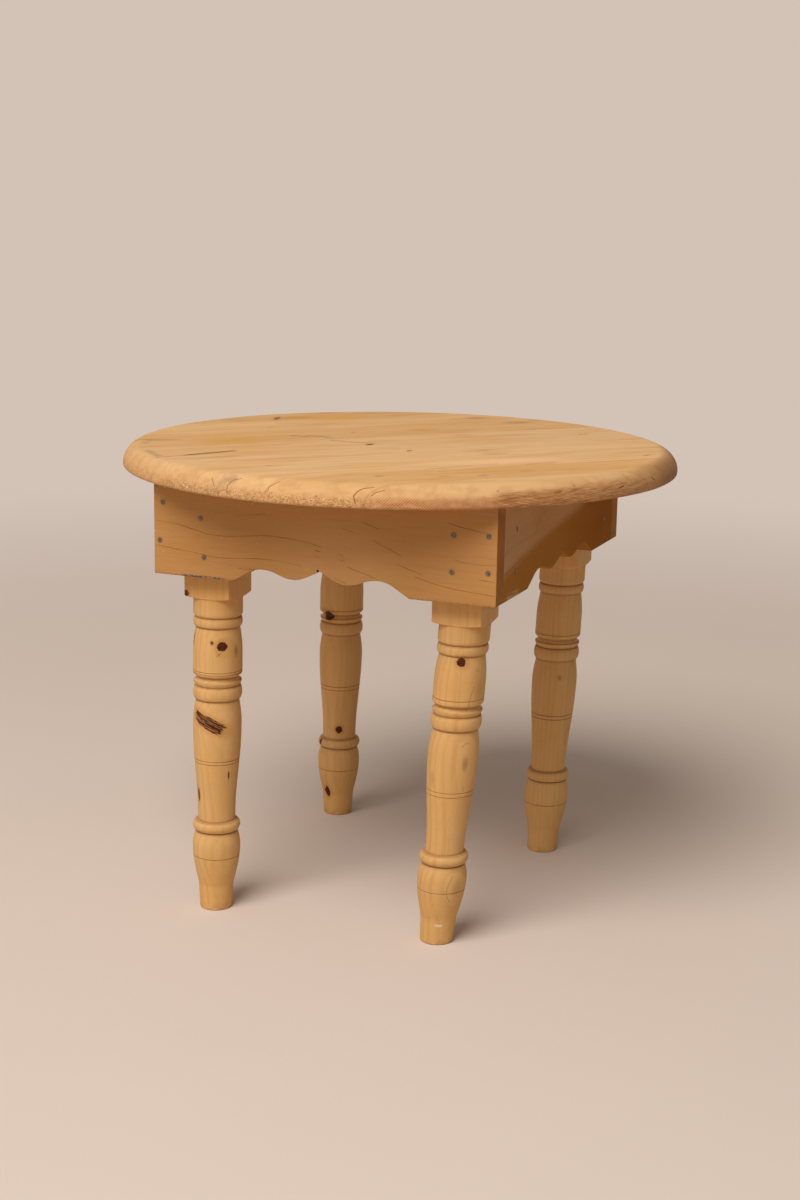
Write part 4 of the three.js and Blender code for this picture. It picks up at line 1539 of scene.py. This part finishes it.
def apron_pine(name, half, nails, seed):
    """Planed pine of an apron board, with the marks that the photograph shows on the front and right ones."""
    g, point = surface(f"apron_pine_{name}")
    x, y, z = point.parts()
    front, right = name == "front", name == "right"
    pith = [start + step * seed for start, step in zip(APRON_PITH, APRON_PITH_STEP)]
    pale = SIDE_BOARD if right else APRON
    look = WOODS["apron"] | dict(pith=pith, contrast=APRON_CONTRASTS[name], pale=pale)
    color, height = wood(g, point, look, seed * 11.7, end_share(g, (1, 0, 0)))
    if front:
        color, height = front_face(g, color, height, point, seed)
    color = g.coat(color, point, "smears", seed=seed)
    color = g.coat(color, point, "right_specks" if right else "front_specks", seed=seed)
    if right:
        color = heartwood(g, color, point, seed)
    color = g.coat(color, point, "board_foot", z.step(*BOARD_FOOT_FADE))
    if front:
        sawn = z.step(*FLECK_LEVELS)
        for fade in FLECK_FADES:
            sawn = sawn * x.step(*(place - half for place in fade))
        color = g.coat(color, point, "saw_flecks", sawn)
        color = g.coat(color, point, "dust", x.step(half, -half))
    for nail in nails:
        gap = g.joined(x, z).measure("DISTANCE", (*nail, 0))
        color = g.mix(color, GRAIN_LINE, gap.step(*CRUSH_FADE) * 0.4)
    inner = y.step(*INNER_FACE_FADE)
    saw = g.math("SINE", (x + z * BOARD_SAW_SLOPE_SHARE) * (TURN / BOARD_SAW_PITCH))
    shine = 0 if right else WOOD_SHINE / 2
    return g.finish(color, height + inner * saw * 0.5, g.varying(point, "apron_sheen"), "apron", shine=shine)


def leg_grooves(g, color, point, z, scribes):
    """Burnt scribe lines, and dirt and painted shade in the grooves of the turning."""
    ragged = z + g.varying(point, "scribe_wander")
    for level in scribes:
        mask = abs(ragged - level).step(*SCRIBE_FADE) * g.varying(point, "scribes", level)
        color = g.mix(color, SCRIBED, mask)
    # Dirt and painted shade: the grooves of the turning darkened
    for _, level in GROOVES:
        color = g.mix(color, GRAIN_LINE, abs(z - level).step(*GROOVE_DIRT_AND_SHADE_FADE) * 0.4)
    return color


def leg_pine(name, seed):
    """Turned pine: upright grain, knots, burnt scribe lines, lathe marks and darker grooves."""
    leg = LEGS[name]
    g, point = surface(f"leg_pine_{name}")
    x, y, z = point.parts()
    drop = g.math("MAXIMUM", BLOCK_BOTTOM - z, 0)
    x, y = x - drop * leg["lean"][0], y - drop * leg["lean"][1]
    section = g.joined(x, y)
    radius = section.length()

    def face_oval(degrees, level, half_round, half_height, turn=0):
        """Distance and place in an oval on the leg's surface."""
        facing_x, facing_y, _ = section.turned(-degrees).parts()
        run = g.math("ARCTAN2", facing_y, facing_x) * radius
        face = wobbled(g, g.joined(run, z - level), "knots")
        return oval(face, (0, 0), (half_round, half_height), turn)

    knots = [(*face_oval(*spot[:5]), spot[5], spot[1]) for spot in leg["knots"]]
    barks = [face_oval(*spot[:5]) for spot in leg["bark"]]
    bend = bend_round([(k[0], k[2]) for k in knots] + [(bark[0], 0.8) for bark in barks])
    look = WOODS["leg"] | {key: leg[key] for key in ("pith", "gap", "contrast")}
    fibre = g.add("CombineXYZ", {0: z, 1: x, 2: y})
    color, height = wood(g, fibre, look, seed * 7.9, end_share(g, (0, 0, 1)), bend)
    color = g.coat(color, point, "leg_warmth", z.step(BULB[1], ANKLE[1]))
    # A warmer tone on the square block, partly painted light on a part that stands in shade under the apron
    color = g.mix(color, BLOCK_TONE_AND_LIGHT, z.step(*BLOCK_TONE_AND_LIGHT_FADE) * 0.2)

    around = wobbled(g, g.joined(g.math("ARCTAN2", y, x) * BULB[0], z), "leg_lines")
    for path in leg["lines"]:
        points = [(math.radians(degrees) * BULB[0], level, 0) for degrees, level in path]
        color = g.mix(color, CRACK, stroke(g, around, points, LEG_LINE_WIDTH, 0.4, 0))
    for distance, inside, depth, knot_seed in knots:
        if depth < FAINT_DEPTH:
            color = g.mix(color, SMUDGE, distance.step(1.4, 0.2) * (1.6 * depth))
        else:
            color = knot(g, color, distance, inside, depth, knot_seed, LEG_KNOT)
    for distance, inside in barks:
        color = bark_knot(g, color, distance, inside)
    for scuff in leg["scuffs"]:
        color = g.coat(color, point, "scuff", face_oval(*scuff)[0].step(1, 0.5))
    color = leg_grooves(g, color, point, z, leg["scribes"])
    lathe, lathe_mask = g.cloud(point, "lathe")
    turned_part = z.step(*TURNED_FADE)
    color = g.mix(color, BROWN, lathe_mask * turned_part * 0.15)
    color = g.coat(color, point, "leg_dirt", z.step(*LEG_DIRT_FADE))
    return g.finish(color, height + lathe * turned_part * 0.6, g.varying(point, "leg_sheen"), "leg")


def cleat_pine():
    """Rough sawn pine of the hidden cleats."""
    g, point = surface("cleat_pine")
    color, height = wood(g, point, WOODS["cleat"], 90)
    saw = g.noise(point, (0.9, 0.9, 0.05), 51, 3)
    return g.finish(color, height + saw * 0.8, saw.span(0.3, 0.7, 0.62, 0.8), "cleat")


def steel(name, base):
    """Dull steel with scratches and touches of rust."""
    g, point = surface(name)
    cloud, cloud_mask = g.cloud(point, "steel")
    rust = g.cloud(point, "rust")[1]
    color = g.mix(g.mix(base, STEEL_DARK, cloud_mask), RUST, rust * 0.6)
    scratch = g.noise(point, (0.4, 3.0, 3.0), 8, 3)
    roughness = cloud.span(0.3, 0.7, 0.4, 0.6) + rust * 0.2
    return g.finish(color, scratch, roughness, "steel", metallic=STEEL_METAL, shine=STEEL_SHINE)


def seen_ray(g):
    """1 for rays that show the background, and 0 for those that light the table."""
    kinds = ("Is Camera Ray", "Is Glossy Ray", "Is Transmission Ray")
    return g.extreme("MAXIMUM", [g.add("LightPath", output=kind) for kind in kinds])


def floor_cloth():
    """Plain pale ground with a faint unevenness, which meets the backdrop far from the table."""
    g = Graph(bpy.data.materials.new("pale_floor"))
    point = g.add("TexCoord", output="Object")
    darker = [channel * FLOOR_CLOUD_SHARE for channel in linear(FLOOR)[:3]] + [1]
    color = g.mix(FLOOR, darker, g.cloud(point, "floor")[1])
    material = g.finish(color, g.noise(point, 260, 4, 2), 0.85, "floor")
    glow = g.add("Emission", {"Color": BACKDROP, "Strength": 1})
    far = point.length().step(*FLOOR_FADE)
    mixed = g.add("MixShader", {0: seen_ray(g) * far, 1: g.shader.outputs[0], 2: glow})
    g.feed(g.tree.nodes["Material Output"].inputs["Surface"], mixed)
    return material


# Pieces
def nail_places(node_prefix, count, to_board):
    """Middle of each nail's head on its board's face, read from the nails' CAD boxes."""
    places = []
    for index in range(1, count + 1):
        low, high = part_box(f"{node_prefix}_nail_{index}")
        local = to_board @ ((low + high) / 2)
        places.append((local.x / MM, local.z / MM))
    return places


def make_side(name, half, pad, nail_count, matrix, seed, nail_source, metal):
    nails = nail_places(f"apron_{name}", nail_count, matrix.inverted())
    board = make_object(f"pine_apron_{name}", *board_mesh(half, pad, nails, seed, name == "front"))
    place(board, f"apron_{name}", "apron_pine", matrix, apron_pine(name, half, nails, seed))
    for index, (x, z) in enumerate(nails, 1):
        nail = new_object(f"steel_nail_{name}_{index}", nail_source)
        spin = Matrix.Rotation(math.radians(index * NAIL_SPIN), 4, "Y")
        here = matrix @ Matrix.Translation(Vector((x, 0, z)) * MM) @ spin
        place(nail, f"apron_{name}_nail_{index}", "nail_steel", here, metal)


def make_frame():
    metal = steel("nail_steel", NAIL_STEEL)
    source = make_object("nail_source", *nail_mesh())
    nail_source = source.data
    bpy.data.objects.remove(source)
    long_half = FRAME_LENGTH / 2
    side_half = FRAME_DEPTH / 2 - LEG_SEAT
    sides = (
        ("front", long_half, LONG_PAD, 8, shifted(0, -FRAME_DEPTH / 2, FRAME_BOTTOM)),
        ("back", long_half, LONG_PAD, 8, shifted(0, FRAME_DEPTH / 2, FRAME_BOTTOM, 180)),
        ("right", side_half, SIDE_PAD, 4, shifted(FRAME_LENGTH / 2, 0, FRAME_BOTTOM, 90)),
        ("left", side_half, SIDE_PAD, 4, shifted(-FRAME_LENGTH / 2, 0, FRAME_BOTTOM, -90)),
    )
    for seed, (name, half, pad, count, matrix) in enumerate(sides, 1):
        make_side(name, half, pad, count, matrix, seed, nail_source, metal)


def make_legs():
    for seed, name in enumerate(LEGS, 1):
        side_x = 1 if name.endswith("right") else -1
        side_y = 1 if name.startswith("back") else -1
        x = side_x * (FRAME_LENGTH / 2 - LEG_SEAT - BLOCK_SIDE / 2)
        y = side_y * (FRAME_DEPTH / 2 - LEG_SEAT - BLOCK_SIDE / 2)
        leg = make_object(f"turned_leg_{name}", *leg_mesh(name, seed))
        place(leg, f"leg_{name}", "leg_pine", shifted(x, y, 0), leg_pine(name, seed))


def make_cleats():
    """The cleats keep their CAD solids, with eased edges, and get finer screws."""
    pine = cleat_pine()
    metal = steel("screw_steel", SCREW_STEEL)
    mesh = make_screw_source()
    for name in ("front", "back", "left", "right"):
        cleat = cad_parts[f"cleat_{name}"]
        cleat.data.materials.clear()
        cleat.data.materials.append(pine)
        eased = cleat.modifiers.new("eased_edges", "BEVEL")
        eased.width = BOARD_EASE * MM
        eased.segments = EASE_STEPS
        eased.limit_method = "ANGLE"
        for index in (1, 2):
            node = f"cleat_{name}_screw_{index}"
            low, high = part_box(node)
            middle = (low + high) / 2
            screw = new_object(f"steel_screw_{name}_{index}", mesh)
            matrix = shifted(middle.x / MM, middle.y / MM, low.z / MM, SCREW_SPIN * index)
            place(screw, node, "screw_steel", matrix, metal)


# Studio
def direction(azimuth, elevation):
    (cos_a, sin_a), (cos_e, sin_e) = cos_sin(azimuth), cos_sin(elevation)
    return Vector((cos_a * cos_e, sin_a * cos_e, sin_e))


def make_floor():
    bpy.ops.mesh.primitive_plane_add(size=FLOOR_SIZE)
    floor = bpy.context.object
    floor.name = "floor"
    floor.data.materials.append(floor_cloth())


def make_lamp():
    """Round lamp turned towards the table."""
    lamp = bpy.data.lights.new("key", "AREA")
    lamp.shape = "DISK"
    lamp.size = KEY_SIZE
    lamp.energy = KEY_POWER
    lamp.color = KEY_COLOR
    item = new_object("key", lamp)
    away = direction(*KEY_FROM)
    item.location = away * KEY_DISTANCE
    item.rotation_euler = away.to_track_quat("Z", "Y").to_euler()
    item.visible_camera = False


def make_world():
    """Soft light from all round, stronger from the key lamp's side, and the plain backdrop."""
    world = bpy.data.worlds.new("studio")
    bpy.context.scene.world = world
    g = Graph(world)
    facing = g.add("TexCoord", output="Generated").measure("DOT_PRODUCT", direction(*FILL_FROM))
    light = g.add("Background", {"Color": FILL_COLOR, "Strength": facing.span(-1, 1, *FILL_STRENGTHS)})
    seen = g.add("Background", {"Color": BACKDROP, "Strength": 1})
    mixed = g.add("MixShader", {0: seen_ray(g), 1: light, 2: seen})
    g.feed(g.tree.nodes["World Output"].inputs["Surface"], mixed)


def make_camera():
    forward = direction(CAMERA_AZIMUTH + 90, -CAMERA_PITCH)
    right = direction(CAMERA_AZIMUTH, 0)
    up = right.cross(forward)
    cosine, sine = cos_sin(CAMERA_ROLL)
    turn = Matrix((right * cosine + up * sine, up * cosine - right * sine, -forward)).transposed()
    data = bpy.data.cameras.new("photo_camera")
    data.sensor_fit = "VERTICAL"
    data.sensor_height = SENSOR_HEIGHT
    data.lens = CAMERA_FOCUS_PIXELS * SENSOR_HEIGHT / PHOTO_HEIGHT
    camera = new_object("photo_camera", data)
    camera.matrix_world = Matrix.Translation(Vector(CAMERA_PLACE) * MM) @ turn.to_4x4()
    bpy.context.scene.camera = camera


make_top()
make_frame()
make_legs()
make_cleats()
make_floor()
make_lamp()
make_world()
make_camera()
bpy.context.scene.view_settings.view_transform = "Standard"
